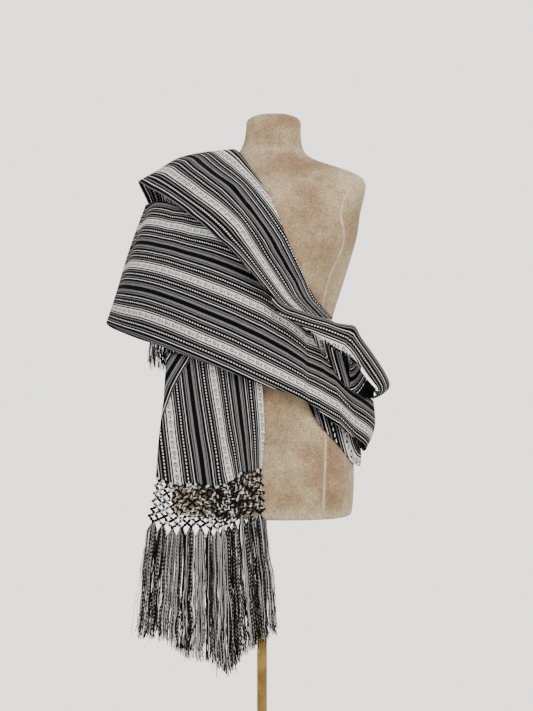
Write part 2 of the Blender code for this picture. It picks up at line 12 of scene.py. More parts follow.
import logging
import math
from dataclasses import dataclass, field
from enum import Enum
from typing import NamedTuple

import bmesh
import bpy
import numpy as np
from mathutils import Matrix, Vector
from mathutils.bvhtree import BVHTree


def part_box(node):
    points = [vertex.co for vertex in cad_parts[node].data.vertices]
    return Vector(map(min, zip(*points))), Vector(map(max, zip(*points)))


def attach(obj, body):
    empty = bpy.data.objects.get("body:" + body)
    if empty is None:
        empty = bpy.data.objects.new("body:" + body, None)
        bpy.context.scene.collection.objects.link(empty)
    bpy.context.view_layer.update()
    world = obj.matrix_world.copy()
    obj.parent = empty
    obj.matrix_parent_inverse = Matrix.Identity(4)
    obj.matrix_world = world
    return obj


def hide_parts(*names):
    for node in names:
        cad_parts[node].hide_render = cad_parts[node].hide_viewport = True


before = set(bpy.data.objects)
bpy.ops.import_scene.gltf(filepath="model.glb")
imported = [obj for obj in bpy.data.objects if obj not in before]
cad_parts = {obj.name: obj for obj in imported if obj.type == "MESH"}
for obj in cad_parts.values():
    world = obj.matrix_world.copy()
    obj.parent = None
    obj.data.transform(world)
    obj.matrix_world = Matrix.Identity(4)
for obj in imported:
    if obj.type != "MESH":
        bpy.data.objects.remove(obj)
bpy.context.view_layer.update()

log = logging.getLogger("rebozo")

MM = 0.001
CM = 0.01
BODY = "root"
DRAPE_TURN = math.radians(20.0)  # the drape's left-right axis, turned about Z
DRAPE_SIDE = np.array((math.cos(DRAPE_TURN), math.sin(DRAPE_TURN), 0.0))
DRAPE_FRONT = np.array((math.sin(DRAPE_TURN), -math.cos(DRAPE_TURN), 0.0))
UP = np.array((0.0, 0.0, 1.0))


# Small helpers


def linear(code: str) -> tuple[float, float, float, float]:
    """Turns an sRGB hex colour into linear RGBA.

    Args:
        code: the colour as six hex digits after a hash sign.

    Returns:
        The linear red, green, blue and an alpha of one.
    """
    parts = [int(code[i : i + 2], 16) / 255 for i in (1, 3, 5)]
    return (*(c / 12.92 if c <= 0.04045 else ((c + 0.055) / 1.055) ** 2.4 for c in parts), 1.0)


def add_node(
    tree: bpy.types.NodeTree, kind: str, inputs: dict | None = None, **settings: object
) -> bpy.types.Node:
    """Adds a node with its settings and links.

    Args:
        tree: the node tree that it goes into.
        kind: the node's type name.
        inputs: values or other nodes' sockets, by the input's name or number.
        settings: the node's own properties.

    Returns:
        The new node.
    """
    node = tree.nodes.new(kind)
    for name, value in settings.items():
        setattr(node, name, value)
    for key, value in (inputs or {}).items():
        if isinstance(value, bpy.types.NodeSocket):
            tree.links.new(value, node.inputs[key])
        else:
            node.inputs[key].default_value = value
    return node


def new_piece(
    name: str, mesh: bpy.types.Mesh, finish: "Finish | None" = None
) -> bpy.types.Object:
    """Links a mesh into the scene as a piece at the origin.

    Args:
        name: the piece's name.
        mesh: its mesh, already in the frame's own place.
        finish: what it is dressed in, or None where the mesh has its material.

    Returns:
        The new object.
    """
    piece = bpy.data.objects.new(name, mesh)
    bpy.context.scene.collection.objects.link(piece)
    if finish:
        mesh.materials.clear()
        mesh.materials.append(finish.material())
    return piece


def drape_points(places: np.ndarray) -> np.ndarray:
    """Turns (across, height, out) in centimetres into points of the frame."""
    return (
        DRAPE_SIDE * places[..., 0:1] + UP * places[..., 1:2] + DRAPE_FRONT * places[..., 2:3]
    ) * CM


def drape_places(points: np.ndarray) -> np.ndarray:
    """Turns points of the frame into (across, height, out) in centimetres."""
    return np.stack([points @ DRAPE_SIDE, points @ UP, points @ DRAPE_FRONT], axis=-1) / CM


def spline(points: np.ndarray, count: int) -> np.ndarray:
    """Draws a smooth curve along the first axis of an array.

    Args:
        points: the values that the curve passes through.
        count: how many values to return, evenly spaced by index.

    Returns:
        The array with its first axis drawn finer.
    """
    ends = np.concatenate([2 * points[:1] - points[1:2], points, 2 * points[-1:] - points[-2:-1]])
    at = np.linspace(0, len(points) - 1, count)
    i = np.minimum(at.astype(int), len(points) - 2)
    t = (at - i).reshape(-1, *[1] * (points.ndim - 1))
    a, b, c, d = (ends[i + k] for k in range(4))
    curve = 2 * b + (c - a) * t + (2 * a - 5 * b + 4 * c - d) * t**2
    return 0.5 * (curve + (3 * b - a - 3 * c + d) * t**3)


def grid_normals(grid: np.ndarray) -> np.ndarray:
    """Returns the unit normal at each point of a grid of points."""
    normals = np.cross(np.gradient(grid, axis=0), np.gradient(grid, axis=1))
    return normals / np.maximum(np.linalg.norm(normals, axis=2, keepdims=True), 1e-12)


def grid_faces(along: int, across: int) -> list[tuple[int, int, int, int]]:
    """Lists a grid's quads by point number, facing the side of its normals."""
    faces = []
    for i in range(along - 1):
        for j in range(across - 1):
            k = i * across + j
            faces.append((k, k + across, k + across + 1, k + 1))
    return faces


# Finishes


class Finish:
    """What a surface is made of: a Principled material, made once."""

    name = "finish"

    def material(self) -> bpy.types.Material:
        """Returns the finish's material."""
        made = bpy.data.materials.get(self.name)
        if made:
            return made
        made = bpy.data.materials.new(self.name)
        made.use_nodes = True
        tree = made.node_tree
        self.weave(tree, tree.nodes["Principled BSDF"])
        return made

    def weave(self, tree: bpy.types.NodeTree, shader: bpy.types.Node) -> None:
        """Sets the shader's values and links its patterns.

        Args:
            tree: the material's tree.
            shader: its Principled node.
        """
        raise NotImplementedError


class Thread(Enum):
    """The dyed threads of the warp."""

    BLACK = "#0C0C0E"
    SLATE = "#77787C"
    TWILL = "#9A9B9E"
    WHITE = "#F2F2EE"


class Stripe(NamedTuple):
    """One warp stripe: where it starts, in mm from the wide black band's middle."""

    start: float
    thread: Thread


HALF_REPEAT = 50.0  # mm from the wide black band's middle to the figured band's middle
STRIPES = (
    Stripe(0.0, Thread.BLACK),
    Stripe(4.3, Thread.TWILL),
    Stripe(9.3, Thread.BLACK),
    Stripe(10.9, Thread.SLATE),
    Stripe(12.7, Thread.BLACK),
    Stripe(17.8, Thread.WHITE),
    Stripe(19.2, Thread.BLACK),
    Stripe(22.2, Thread.SLATE),
    Stripe(24.1, Thread.BLACK),
    Stripe(35.0, Thread.SLATE),
    Stripe(36.9, Thread.BLACK),
    Stripe(39.9, Thread.WHITE),
    Stripe(41.3, Thread.BLACK),
    Stripe(43.8, Thread.WHITE),
)


@dataclass(frozen=True)
class StripedCotton(Finish):
    """Handwoven warp-faced cotton: matt, close, with stripes that run its length.

    The eye gets crisp black and white lines, fine ribs across them and a soft
    bloom where the cloth turns away. The threads are 0.5 mm apart in the real
    cloth. They are drawn at 1 mm, because finer ones would not show.
    """

    name: str = "warp_striped_cotton"
    thread_mm: float = 1.0
    twill_mm: float = 3.0  # pitch of the slanted weave in the grey stripes
    dot_mm: float = 5.5  # pitch of the dotted line
    dot_line: float = 29.8  # its place in the half repeat
    dot_half_width: float = 1.05
    figure_mm: float = 17.0  # pitch of the curled figures
    figure_half_band: float = 6.2

    def weave(self, tree: bpy.types.NodeTree, shader: bpy.types.Node) -> None:
        """Sets the shader's values and links its patterns."""

        def sums(operation: str, *values: object) -> bpy.types.NodeSocket:
            """Returns the result of one sum on values or sockets."""
            return add_node(
                tree, "ShaderNodeMath", dict(enumerate(values)), operation=operation
            ).outputs[0]

        uv = add_node(tree, "ShaderNodeUVMap", uv_map=CLOTH_UV).outputs[0]
        parts = add_node(tree, "ShaderNodeSeparateXYZ", {0: uv})
        u = sums("MULTIPLY", parts.outputs[0], 1000.0)  # mm across the stripes
        v = sums("MULTIPLY", parts.outputs[1], 1000.0)  # mm along them
        half = sums("PINGPONG", u, HALF_REPEAT)

        # the chart of stripes
        chart = add_node(tree, "ShaderNodeValToRGB", {0: sums("DIVIDE", half, HALF_REPEAT)})
        ramp = chart.color_ramp
        ramp.interpolation = "CONSTANT"
        for i, stripe in enumerate(STRIPES):
            at = stripe.start / HALF_REPEAT
            stop = ramp.elements[i] if i < 1 else ramp.elements.new(at)
            stop.position = at
            stop.color = (*linear(stripe.thread.value)[:3], float(stripe.thread is Thread.TWILL))
        ramp.elements.remove(ramp.elements[-1])

        # the dotted line between two black bands
        near_line = sums("COMPARE", half, self.dot_line, self.dot_half_width)
        beat = sums("LESS_THAN", sums("FRACT", sums("DIVIDE", v, self.dot_mm)), 0.58)
        dots = sums("MULTIPLY", near_line, beat)
        white, black = linear(Thread.WHITE.value), linear(Thread.BLACK.value)
        colour = add_node(
            tree, "ShaderNodeMix", {0: dots, 6: chart.outputs[0], 7: white}, data_type="RGBA"
        ).outputs[2]

        # curled black figures on the white band, with a dot between each two
        place = sums("SUBTRACT", sums("FLOORED_MODULO", u, 2 * HALF_REPEAT), HALF_REPEAT)
        q = sums("DIVIDE", place, self.figure_half_band)
        p = sums("SUBTRACT", sums("FRACT", sums("DIVIDE", v, self.figure_mm)), 0.5)
        down = sums("MULTIPLY", p, self.figure_mm)
        far = sums("SQRT", sums("ADD", sums("POWER", place, 2.0), sums("POWER", down, 2.0)))
        ring = sums("COMPARE", far, 2.35, 0.85)
        opening = sums(
            "MULTIPLY", sums("GREATER_THAN", down, 0.3), sums("GREATER_THAN", place, 0.4)
        )
        tail = sums("COMPARE", sums("ADD", down, sums("MULTIPLY", place, 1.1)), 4.4, 0.8)
        figure = sums("MAXIMUM", sums("SUBTRACT", ring, opening), tail)
        gap = sums("SUBTRACT", 0.5, sums("ABSOLUTE", p))
        dot = sums("LESS_THAN", sums("ADD", sums("MULTIPLY", gap, 3.4), sums("ABSOLUTE", q)), 0.34)
        in_band = sums("COMPARE", q, 0.0, 0.56)
        ink = sums("MULTIPLY", sums("MAXIMUM", figure, dot), in_band)
        colour = add_node(
            tree, "ShaderNodeMix", {0: ink, 6: colour, 7: black}, data_type="RGBA"
        ).outputs[2]

        # slanted weave in the grey stripes, and streaks of uneven dye along the threads
        slant = sums("FRACT", sums("DIVIDE", sums("ADD", u, v), self.twill_mm))
        on_twill = sums("MULTIPLY", sums("LESS_THAN", slant, 0.5), chart.outputs[1])
        twill = sums("MULTIPLY_ADD", on_twill, -0.86, 1.0)
        stretched = add_node(
            tree, "ShaderNodeMapping", {0: uv, "Scale": (900.0, 60.0, 1.0)}
        ).outputs[0]
        streaks = add_node(
            tree, "ShaderNodeTexNoise", {"Vector": stretched, "Scale": 1.0, "Detail": 3.0}
        ).outputs[0]
        shade = sums("MULTIPLY", twill, sums("MULTIPLY_ADD", streaks, 0.7, 0.62))
        toned = add_node(
            tree,
            "ShaderNodeMix",
            {0: 1.0, 6: colour, 7: add_node(tree, "ShaderNodeCombineColor",
                                            {0: shade, 1: shade, 2: shade}).outputs[0]},
            data_type="RGBA",
            blend_type="MULTIPLY",
        ).outputs[2]
        tree.links.new(toned, shader.inputs["Base Color"])

        # ribs of the threads, and their shallow rows across
        turn = 2 * math.pi / self.thread_mm
        ribs = sums("ABSOLUTE", sums("SINE", sums("MULTIPLY", u, turn / 2)))
        rows = sums("ABSOLUTE", sums("SINE", sums("MULTIPLY", v, turn / 2)))
        height = sums("ADD", ribs, sums("MULTIPLY_ADD", rows, 0.6, streaks))
        bump = add_node(
            tree, "ShaderNodeBump", {"Strength": 0.35, "Distance": 0.3 * MM, "Height": height}
        )
        tree.links.new(bump.outputs[0], shader.inputs["Normal"])
        rough = sums("MULTIPLY_ADD", streaks, 0.14, 0.76)
        tree.links.new(rough, shader.inputs["Roughness"])
        shader.inputs["Sheen Weight"].default_value = 0.02
        shader.inputs["Sheen Roughness"].default_value = 0.45
        shader.inputs["Specular IOR Level"].default_value = 0.05


@dataclass(frozen=True)
class TwistedCotton(Finish):
    """Soft two-ply cotton thread, black and white: hairy, matt, with a slant twist.

    Each strand has its own tone. Where tones lie between black and white the
    two plies alternate down its length, which gives the knots their speckle.
    """

    name: str = "twisted_cotton_thread"
    twist_mm: float = 7.0

    def weave(self, tree: bpy.types.NodeTree, shader: bpy.types.Node) -> None:
        """Sets the shader's values and links its patterns."""
        tone = add_node(tree, "ShaderNodeAttribute", attribute_name=TONE).outputs["Fac"]
        along = add_node(tree, "ShaderNodeAttribute", attribute_name=ALONG).outputs["Fac"]
        turns = add_node(
            tree, "ShaderNodeMath", {0: along, 1: 1.0 / (self.twist_mm * MM)}, operation="MULTIPLY"
        ).outputs[0]
        beat = add_node(tree, "ShaderNodeMath", {0: turns, 1: 0.5}, operation="PINGPONG")
        # a strand's tone of 0 is black and 1 is white all along, between them it is speckled
        level = add_node(
            tree, "ShaderNodeMath", {0: beat.outputs[0], 1: 0.9, 2: -0.22}, operation="MULTIPLY_ADD"
        ).outputs[0]
        mixed = add_node(tree, "ShaderNodeMath", {0: tone, 1: level}, operation="ADD").outputs[0]
        ramp = add_node(tree, "ShaderNodeValToRGB", {0: mixed})
        stops = ramp.color_ramp.elements
        stops[0].position, stops[0].color = 0.34, linear("#0F0F11")
        stops[1].position, stops[1].color = 0.72, linear("#D8D8D6")
        middle = stops.new(0.52)
        middle.color = linear("#5E5F63")
        tree.links.new(ramp.outputs[0], shader.inputs["Base Color"])
        place = add_node(tree, "ShaderNodeTexCoord").outputs["Object"]
        fuzz = add_node(
            tree, "ShaderNodeTexNoise", {"Vector": place, "Scale": 1400.0, "Detail": 2.0}
        ).outputs[0]
        bump = add_node(
            tree, "ShaderNodeBump", {"Strength": 0.5, "Distance": 0.3 * MM, "Height": fuzz}
        )
        tree.links.new(bump.outputs[0], shader.inputs["Normal"])
        shader.inputs["Roughness"].default_value = 0.82
        shader.inputs["Sheen Weight"].default_value = 0.04
        shader.inputs["Specular IOR Level"].default_value = 0.08


@dataclass(frozen=True)
class AgedLinen(Finish):
    """Natural linen pulled over a padded form, aged by handling.

    The eye gets a fine crossed grain, warm stains where it was touched and
    paler cloth at its raised edges. The real threads are 0.7 mm apart, and the
    grain is drawn at 3 mm so that it shows.
    """

    name: str = "aged_linen"
    grain_mm: float = 3.0
    stain_mm: float = 95.0

    def weave(self, tree: bpy.types.NodeTree, shader: bpy.types.Node) -> None:
        """Sets the shader's values and links its patterns."""
        place = add_node(tree, "ShaderNodeTexCoord").outputs["Object"]
        noises = []
        for scale, detail in ((1 / self.stain_mm, 4.0), (1 / self.grain_mm, 3.0), (1 / 14.0, 5.0)):
            noises.append(
                add_node(
                    tree,
                    "ShaderNodeTexNoise",
                    {"Vector": place, "Scale": 1000.0 * scale, "Detail": detail},
                ).outputs[0]
            )
        stains, grain, smudges = noises
        base = add_node(tree, "ShaderNodeValToRGB", {0: stains})
        stops = base.color_ramp.elements
        stops[0].position, stops[0].color = 0.36, linear("#9C7F62")
        stops[1].position, stops[1].color = 0.64, linear("#C2B08F")
        middle = stops.new(0.50)
        middle.color = linear("#B09A79")
        worn = add_node(tree, "ShaderNodeAttribute", attribute_name=WORN).outputs["Fac"]
        pale = add_node(
            tree,
            "ShaderNodeMix",
            {0: worn, 6: base.outputs[0], 7: linear("#D2C5A4")},
            data_type="RGBA",
        ).outputs[2]
        speck = add_node(
            tree, "ShaderNodeMath", {0: grain, 1: 1.7, 2: 0.14}, operation="MULTIPLY_ADD"
        ).outputs[0]
        mottle = add_node(
            tree, "ShaderNodeMath", {0: smudges, 1: 0.80, 2: 0.58}, operation="MULTIPLY_ADD"
        ).outputs[0]
        shade = add_node(
            tree, "ShaderNodeMath", {0: speck, 1: mottle}, operation="MULTIPLY"
        ).outputs[0]
        tint = add_node(tree, "ShaderNodeCombineColor", {0: shade, 1: shade, 2: shade})
        toned = add_node(
            tree,
            "ShaderNodeMix",
            {0: 1.0, 6: pale, 7: tint.outputs[0]},
            data_type="RGBA",
            blend_type="MULTIPLY",
        ).outputs[2]
        tree.links.new(toned, shader.inputs["Base Color"])
        bump = add_node(
            tree, "ShaderNodeBump", {"Strength": 0.4, "Distance": 0.4 * MM, "Height": grain}
        )
        tree.links.new(bump.outputs[0], shader.inputs["Normal"])
        shader.inputs["Roughness"].default_value = 0.9
        shader.inputs["Sheen Weight"].default_value = 0.12
        shader.inputs["Specular IOR Level"].default_value = 0.25


@dataclass(frozen=True)
class LacqueredBrass(Finish):
    """Drawn brass tube under clear lacquer: warm, with faint lines down its length."""

    name: str = "lacquered_brass"
    line_mm: float = 1.2

    def weave(self, tree: bpy.types.NodeTree, shader: bpy.types.Node) -> None:
        """Sets the shader's values and links its patterns."""
        place = add_node(tree, "ShaderNodeTexCoord").outputs["Object"]
        drawn = add_node(
            tree,
            "ShaderNodeMapping",
            {0: place, "Scale": (1000.0 / self.line_mm, 1000.0 / self.line_mm, 9.0)},
        ).outputs[0]
        lines = add_node(tree, "ShaderNodeTexNoise", {"Vector": drawn, "Scale": 1.0}).outputs[0]
        tarnish = add_node(
            tree, "ShaderNodeTexNoise", {"Vector": place, "Scale": 26.0, "Detail": 5.0}
        ).outputs[0]
        ramp = add_node(tree, "ShaderNodeValToRGB", {0: tarnish})
        stops = ramp.color_ramp.elements
        stops[0].position, stops[0].color = 0.30, linear("#7E6233")
        stops[1].position, stops[1].color = 0.62, linear("#BE9D58")
        tree.links.new(ramp.outputs[0], shader.inputs["Base Color"])
        rough = add_node(
            tree, "ShaderNodeMath", {0: lines, 1: 0.25, 2: 0.22}, operation="MULTIPLY_ADD"
        )
        tree.links.new(rough.outputs[0], shader.inputs["Roughness"])
        bump = add_node(
            tree, "ShaderNodeBump", {"Strength": 0.12, "Distance": 0.1 * MM, "Height": lines}
        )
        tree.links.new(bump.outputs[0], shader.inputs["Normal"])
        shader.inputs["Metallic"].default_value = 1.0
        shader.inputs["Coat Weight"].default_value = 0.3


@dataclass(frozen=True)
class BlackEnamel(Finish):
    """Stoved black enamel on cast iron: low gloss over a slightly pebbled casting."""

    name: str = "black_enamel"
    pebble_mm: float = 2.5

    def weave(self, tree: bpy.types.NodeTree, shader: bpy.types.Node) -> None:
        """Sets the shader's values and links its patterns."""
        place = add_node(tree, "ShaderNodeTexCoord").outputs["Object"]
        pebbles = add_node(
            tree, "ShaderNodeTexNoise", {"Vector": place, "Scale": 1000.0 / self.pebble_mm}
        ).outputs[0]
        dust = add_node(
            tree, "ShaderNodeTexNoise", {"Vector": place, "Scale": 18.0, "Detail": 6.0}
        ).outputs[0]
        ramp = add_node(tree, "ShaderNodeValToRGB", {0: dust})
        stops = ramp.color_ramp.elements
        stops[0].position, stops[0].color = 0.35, linear("#1A1918")
        stops[1].position, stops[1].color = 0.75, linear("#2D2B29")
        tree.links.new(ramp.outputs[0], shader.inputs["Base Color"])
        rough = add_node(
            tree, "ShaderNodeMath", {0: dust, 1: 0.3, 2: 0.28}, operation="MULTIPLY_ADD"
        )
        tree.links.new(rough.outputs[0], shader.inputs["Roughness"])
        bump = add_node(
            tree, "ShaderNodeBump", {"Strength": 0.2, "Distance": 0.4 * MM, "Height": pebbles}
        )
        tree.links.new(bump.outputs[0], shader.inputs["Normal"])
        shader.inputs["Coat Weight"].default_value = 0.15


@dataclass(frozen=True)
class PaleFloor(Finish):
    """Matt painted floor, slightly uneven."""

    name: str = "pale_painted_floor"

    def weave(self, tree: bpy.types.NodeTree, shader: bpy.types.Node) -> None:
        """Sets the shader's values and links its patterns."""
        place = add_node(tree, "ShaderNodeTexCoord").outputs["Object"]
        cloud = add_node(tree, "ShaderNodeTexNoise", {"Vector": place, "Scale": 3.0}).outputs[0]
        ramp = add_node(tree, "ShaderNodeValToRGB", {0: cloud})
        stops = ramp.color_ramp.elements
        stops[0].position, stops[0].color = 0.3, linear("#D9D5D1")
        stops[1].position, stops[1].color = 0.7, linear("#E0DDDA")
        tree.links.new(ramp.outputs[0], shader.inputs["Base Color"])
        shader.inputs["Roughness"].default_value = 0.9


CLOTH_UV = "cloth"  # metres across the stripes and along them
TONE = "tone"  # 0 for black thread, 1 for white
ALONG = "along"  # metres down a thread
WORN = "worn"  # how far the linen is rubbed pale


# The dress form and its stand


class Ring(NamedTuple):
    """A level section of the padded body."""

    height: float
    half_width: float
    half_depth: float
    set_back: float
    aside: float


class Bulge(NamedTuple):
    """A soft rise of the body's front: place across, height, rise and spread."""

    across: float
    height: float
    rise: float
    spread: float


@dataclass
class DressForm:
    """A limbless padded body with its short neck, covered in linen."""

    rings: tuple[Ring, ...] = (
        Ring(0.742, 0.164, 0.114, 0.000, 0.000),
        Ring(0.750, 0.171, 0.121, 0.000, 0.000),
        Ring(0.806, 0.175, 0.125, 0.000, 0.000),
        Ring(0.880, 0.172, 0.123, 0.000, 0.000),
        Ring(0.960, 0.158, 0.113, 0.000, 0.000),
        Ring(1.040, 0.140, 0.101, 0.000, 0.000),
        Ring(1.100, 0.132, 0.094, 0.000, 0.001),
        Ring(1.160, 0.1475, 0.100, -0.003, 0.004),
        Ring(1.215, 0.165, 0.114, -0.010, 0.006),
        Ring(1.262, 0.177, 0.121, -0.012, 0.008),
        Ring(1.305, 0.181, 0.113, -0.002, 0.008),
        Ring(1.340, 0.189, 0.100, 0.010, 0.006),
        Ring(1.360, 0.190, 0.089, 0.018, 0.005),
        Ring(1.374, 0.180, 0.080, 0.024, 0.005),
        Ring(1.387, 0.154, 0.072, 0.028, 0.005),
        Ring(1.399, 0.120, 0.065, 0.032, 0.005),
        Ring(1.411, 0.088, 0.060, 0.035, 0.005),
        Ring(1.425, 0.065, 0.056, 0.039, 0.0055),
        Ring(1.446, 0.0545, 0.053, 0.044, 0.0055),
        Ring(1.470, 0.0515, 0.051, 0.048, 0.0055),
        Ring(1.486, 0.0510, 0.0505, 0.050, 0.0055),
        Ring(1.495, 0.0445, 0.044, 0.052, 0.0055),
        Ring(1.500, 0.0310, 0.031, 0.052, 0.0055),
    )
    bulges: tuple[Bulge, ...] = (
        Bulge(0.078, 1.236, 0.006, 0.040),
        Bulge(-0.078, 1.236, 0.006, 0.040),
        Bulge(0.0, 1.165, -0.002, 0.060),
    )
    roundness: float = 2.25  # 2 is an ellipse, more is squarer
    coarse_sides: int = 32
    sides: int = 112
    steps: int = 4  # drawn sections between two rings
    cap_shares: tuple[float, ...] = (0.7, 0.35)
    hem_height: float = 0.018
    seam_width: float = 0.0054
    seam_rise: float = 0.0006
    # Seams on the front, as (across, height) of the drape in centimetres
    side_seam: tuple[tuple[float, float], ...] = (
        (18.4, 137.7),
        (17.0, 135.8),
        (15.3, 133.2),
        (14.5, 130.9),
        (14.4, 129.0),
        (14.9, 126.7),
        (14.8, 124.4),
        (14.1, 122.3),
        (13.2, 120.4),
        (12.3, 118.2),
        (11.7, 116.0),
        (11.2, 113.6),
        (10.6, 108.0),
        (10.9, 100.0),
        (11.4, 92.0),
        (11.6, 88.3),
        (11.3, 80.0),
        (11.1, 75.2),
    )
    cover: bpy.types.Object | None = None
    tree: BVHTree | None = None
    coarse_tree: BVHTree | None = None

    def section(self, ring: np.ndarray, sides: int) -> np.ndarray:
        """Returns the points of one level section.

        Args:
            ring: its height, half width, half depth, set-back and shift aside.
            sides: how many points go round it.

        Returns:
            The points, one row each.
        """
        angle = 2 * np.pi * np.arange(sides) / sides
        c, s = np.cos(angle), np.sin(angle)
        x = np.sign(c) * np.abs(c) ** (2 / self.roundness) * ring[1] + ring[4]
        y = np.sign(s) * np.abs(s) ** (2 / self.roundness) * ring[2] + ring[3]
        return np.stack([x, y, np.full(sides, ring[0])], axis=1)

    def closed(self, sections: np.ndarray) -> bmesh.types.BMesh:
        """Returns a closed body through the sections, from the lowest to the highest."""
        bm = bmesh.new()
        loops = [[bm.verts.new(p) for p in section] for section in sections]
        count = len(loops[0])
        for low, high in zip(loops, loops[1:]):
            for i in range(count):
                j = (i + 1) % count
                bm.faces.new((low[i], low[j], high[j], high[i]))
        bm.faces.new(loops[0][::-1])
        bm.faces.new(loops[-1])
        bm.normal_update()
        return bm

    def swell(self, sections: np.ndarray) -> np.ndarray:
        """Raises the body's front by its soft bulges."""
        made = sections.copy()
        facing = np.clip(-made[..., 1] / 0.1, 0.0, 1.0)
        for bulge in self.bulges:
            far = (made[..., 0] - bulge.across) ** 2 + (made[..., 2] - bulge.height) ** 2
            made[..., 1] -= bulge.rise * facing * np.exp(-far / bulge.spread**2)
        return made

    def build(self) -> None:
        """Makes the linen cover and its seams, and keeps its search trees."""
        rings = np.array(self.rings)
        coarse = self.closed(np.array([self.section(r, self.coarse_sides) for r in rings]))
        self.coarse_tree = BVHTree.FromBMesh(coarse)
        coarse.free()
        fine = spline(rings, (len(rings) - 1) * self.steps + 1)
        sections = self.swell(np.array([self.section(r, self.sides) for r in fine]))
        middle = sections[-1].mean(axis=0)
        caps = [middle + (sections[-1] - middle) * share for share in self.cap_shares]
        foot = sections[0].mean(axis=0)
        soles = [foot + (sections[0] - foot) * share for share in self.cap_shares]
        bm = self.closed(np.array([*soles[::-1], *sections, *caps]))
        self.tree = BVHTree.FromBMesh(bm)
        mesh = bpy.data.meshes.new("linen_cover")
        bm.to_mesh(mesh)
        bm.free()
        mesh.shade_smooth()
        worn = mesh.attributes.new(WORN, "FLOAT", "POINT")
        places = np.array([tuple(v.co) for v in mesh.vertices])
        hem = np.exp(-(((places[:, 2] - self.rings[0].height) / self.hem_height) ** 2))
        collar = 0.45 * np.exp(-(((places[:, 2] - 1.428) / 0.007) ** 2))
        cap = np.exp(-(((places[:, 2] - self.rings[-1].height) / 0.006) ** 2))
        tips = np.exp(
            -(((places[:, 2] - 1.36) / 0.03) ** 2 + ((abs(places[:, 0]) - 0.19) / 0.02) ** 2)
        )
        worn.data.foreach_set("value", np.clip(0.85 * hem + 0.3 * cap + 0.6 * tips + collar, 0, 1))
        self.cover = new_piece("linen_cover", mesh, AgedLinen())
        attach(self.cover, BODY)
        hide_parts("dress_form")
        self.add_seams()

    def on_front(self, across: float, height: float) -> Vector | None:
        """Finds the body's front under a place of the drape, in centimetres."""
        start = Vector(drape_points(np.array((across, height, 60.0))))
        foot, normal, _, _ = self.tree.ray_cast(start, Vector(-DRAPE_FRONT))
        return foot + normal * self.seam_rise * 0.5 if foot else None

    def add_seams(self) -> None:
        """Lays narrow welted seams on the cover, the same on both sides."""
        places = spline(np.array(self.side_seam), 90)
        right = [self.on_front(*place) for place in places]
        right = [p for p in right if p]
        left = [Vector((-p.x, p.y, p.z)) for p in right]
        back = []
        for height in np.linspace(0.746, 1.44, 60):
            foot, normal, _, _ = self.tree.ray_cast(Vector((0.0, 0.5, height)), Vector((0, -1, 0)))
            back.append(foot + normal * self.seam_rise * 0.5)
        bm = bmesh.new()
        for line in (right, left, back):
            for a, b in zip(line, line[1:]):
                self.add_welt(bm, a, b, b is line[-1], a is line[0])
        bmesh.ops.remove_doubles(bm, verts=bm.verts, dist=1e-5)
        bmesh.ops.recalc_face_normals(bm, faces=bm.faces)
        mesh = bpy.data.meshes.new("cover_seams")
        bm.to_mesh(mesh)
        bm.free()
        mesh.shade_smooth()
        worn = mesh.attributes.new(WORN, "FLOAT", "POINT")
        worn.data.foreach_set("value", np.full(len(mesh.vertices), 0.85))
        seams = new_piece("cover_seams", mesh, AgedLinen())
        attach(seams, BODY)

    def add_welt(
        self, bm: bmesh.types.BMesh, a: Vector, b: Vector, last: bool, first: bool
    ) -> None:
        """Adds one short length of a seam's low rounded welt.

        Args:
            bm: the mesh of all seams.
            a: where the length starts on the cover.
            b: where it ends.
            last: whether it is the seam's last length.
            first: whether it is the seam's first length.
        """
        shares = (-1.0, -0.5, 0.0, 0.5, 1.0)
        rings = []
        for spot in (a, b):
            foot, normal, _, _ = self.tree.find_nearest(spot)
            side = (b - a).cross(normal).normalized() * self.seam_width / 2
            top = [foot + side * s + normal * self.seam_rise * (1 - 0.7 * s * s) for s in shares]
            low = [
                foot + side * 0.9 - normal * self.seam_rise,
                foot - side * 0.9 - normal * self.seam_rise,
            ]
            rings.append([bm.verts.new(p) for p in top + low])
        count = len(rings[0])
        for i in range(count):
            j = (i + 1) % count
            bm.faces.new((rings[0][i], rings[0][j], rings[1][j], rings[1][i]))
        if first:
            bm.faces.new(rings[0][::-1])
        if last:
            bm.faces.new(rings[1])


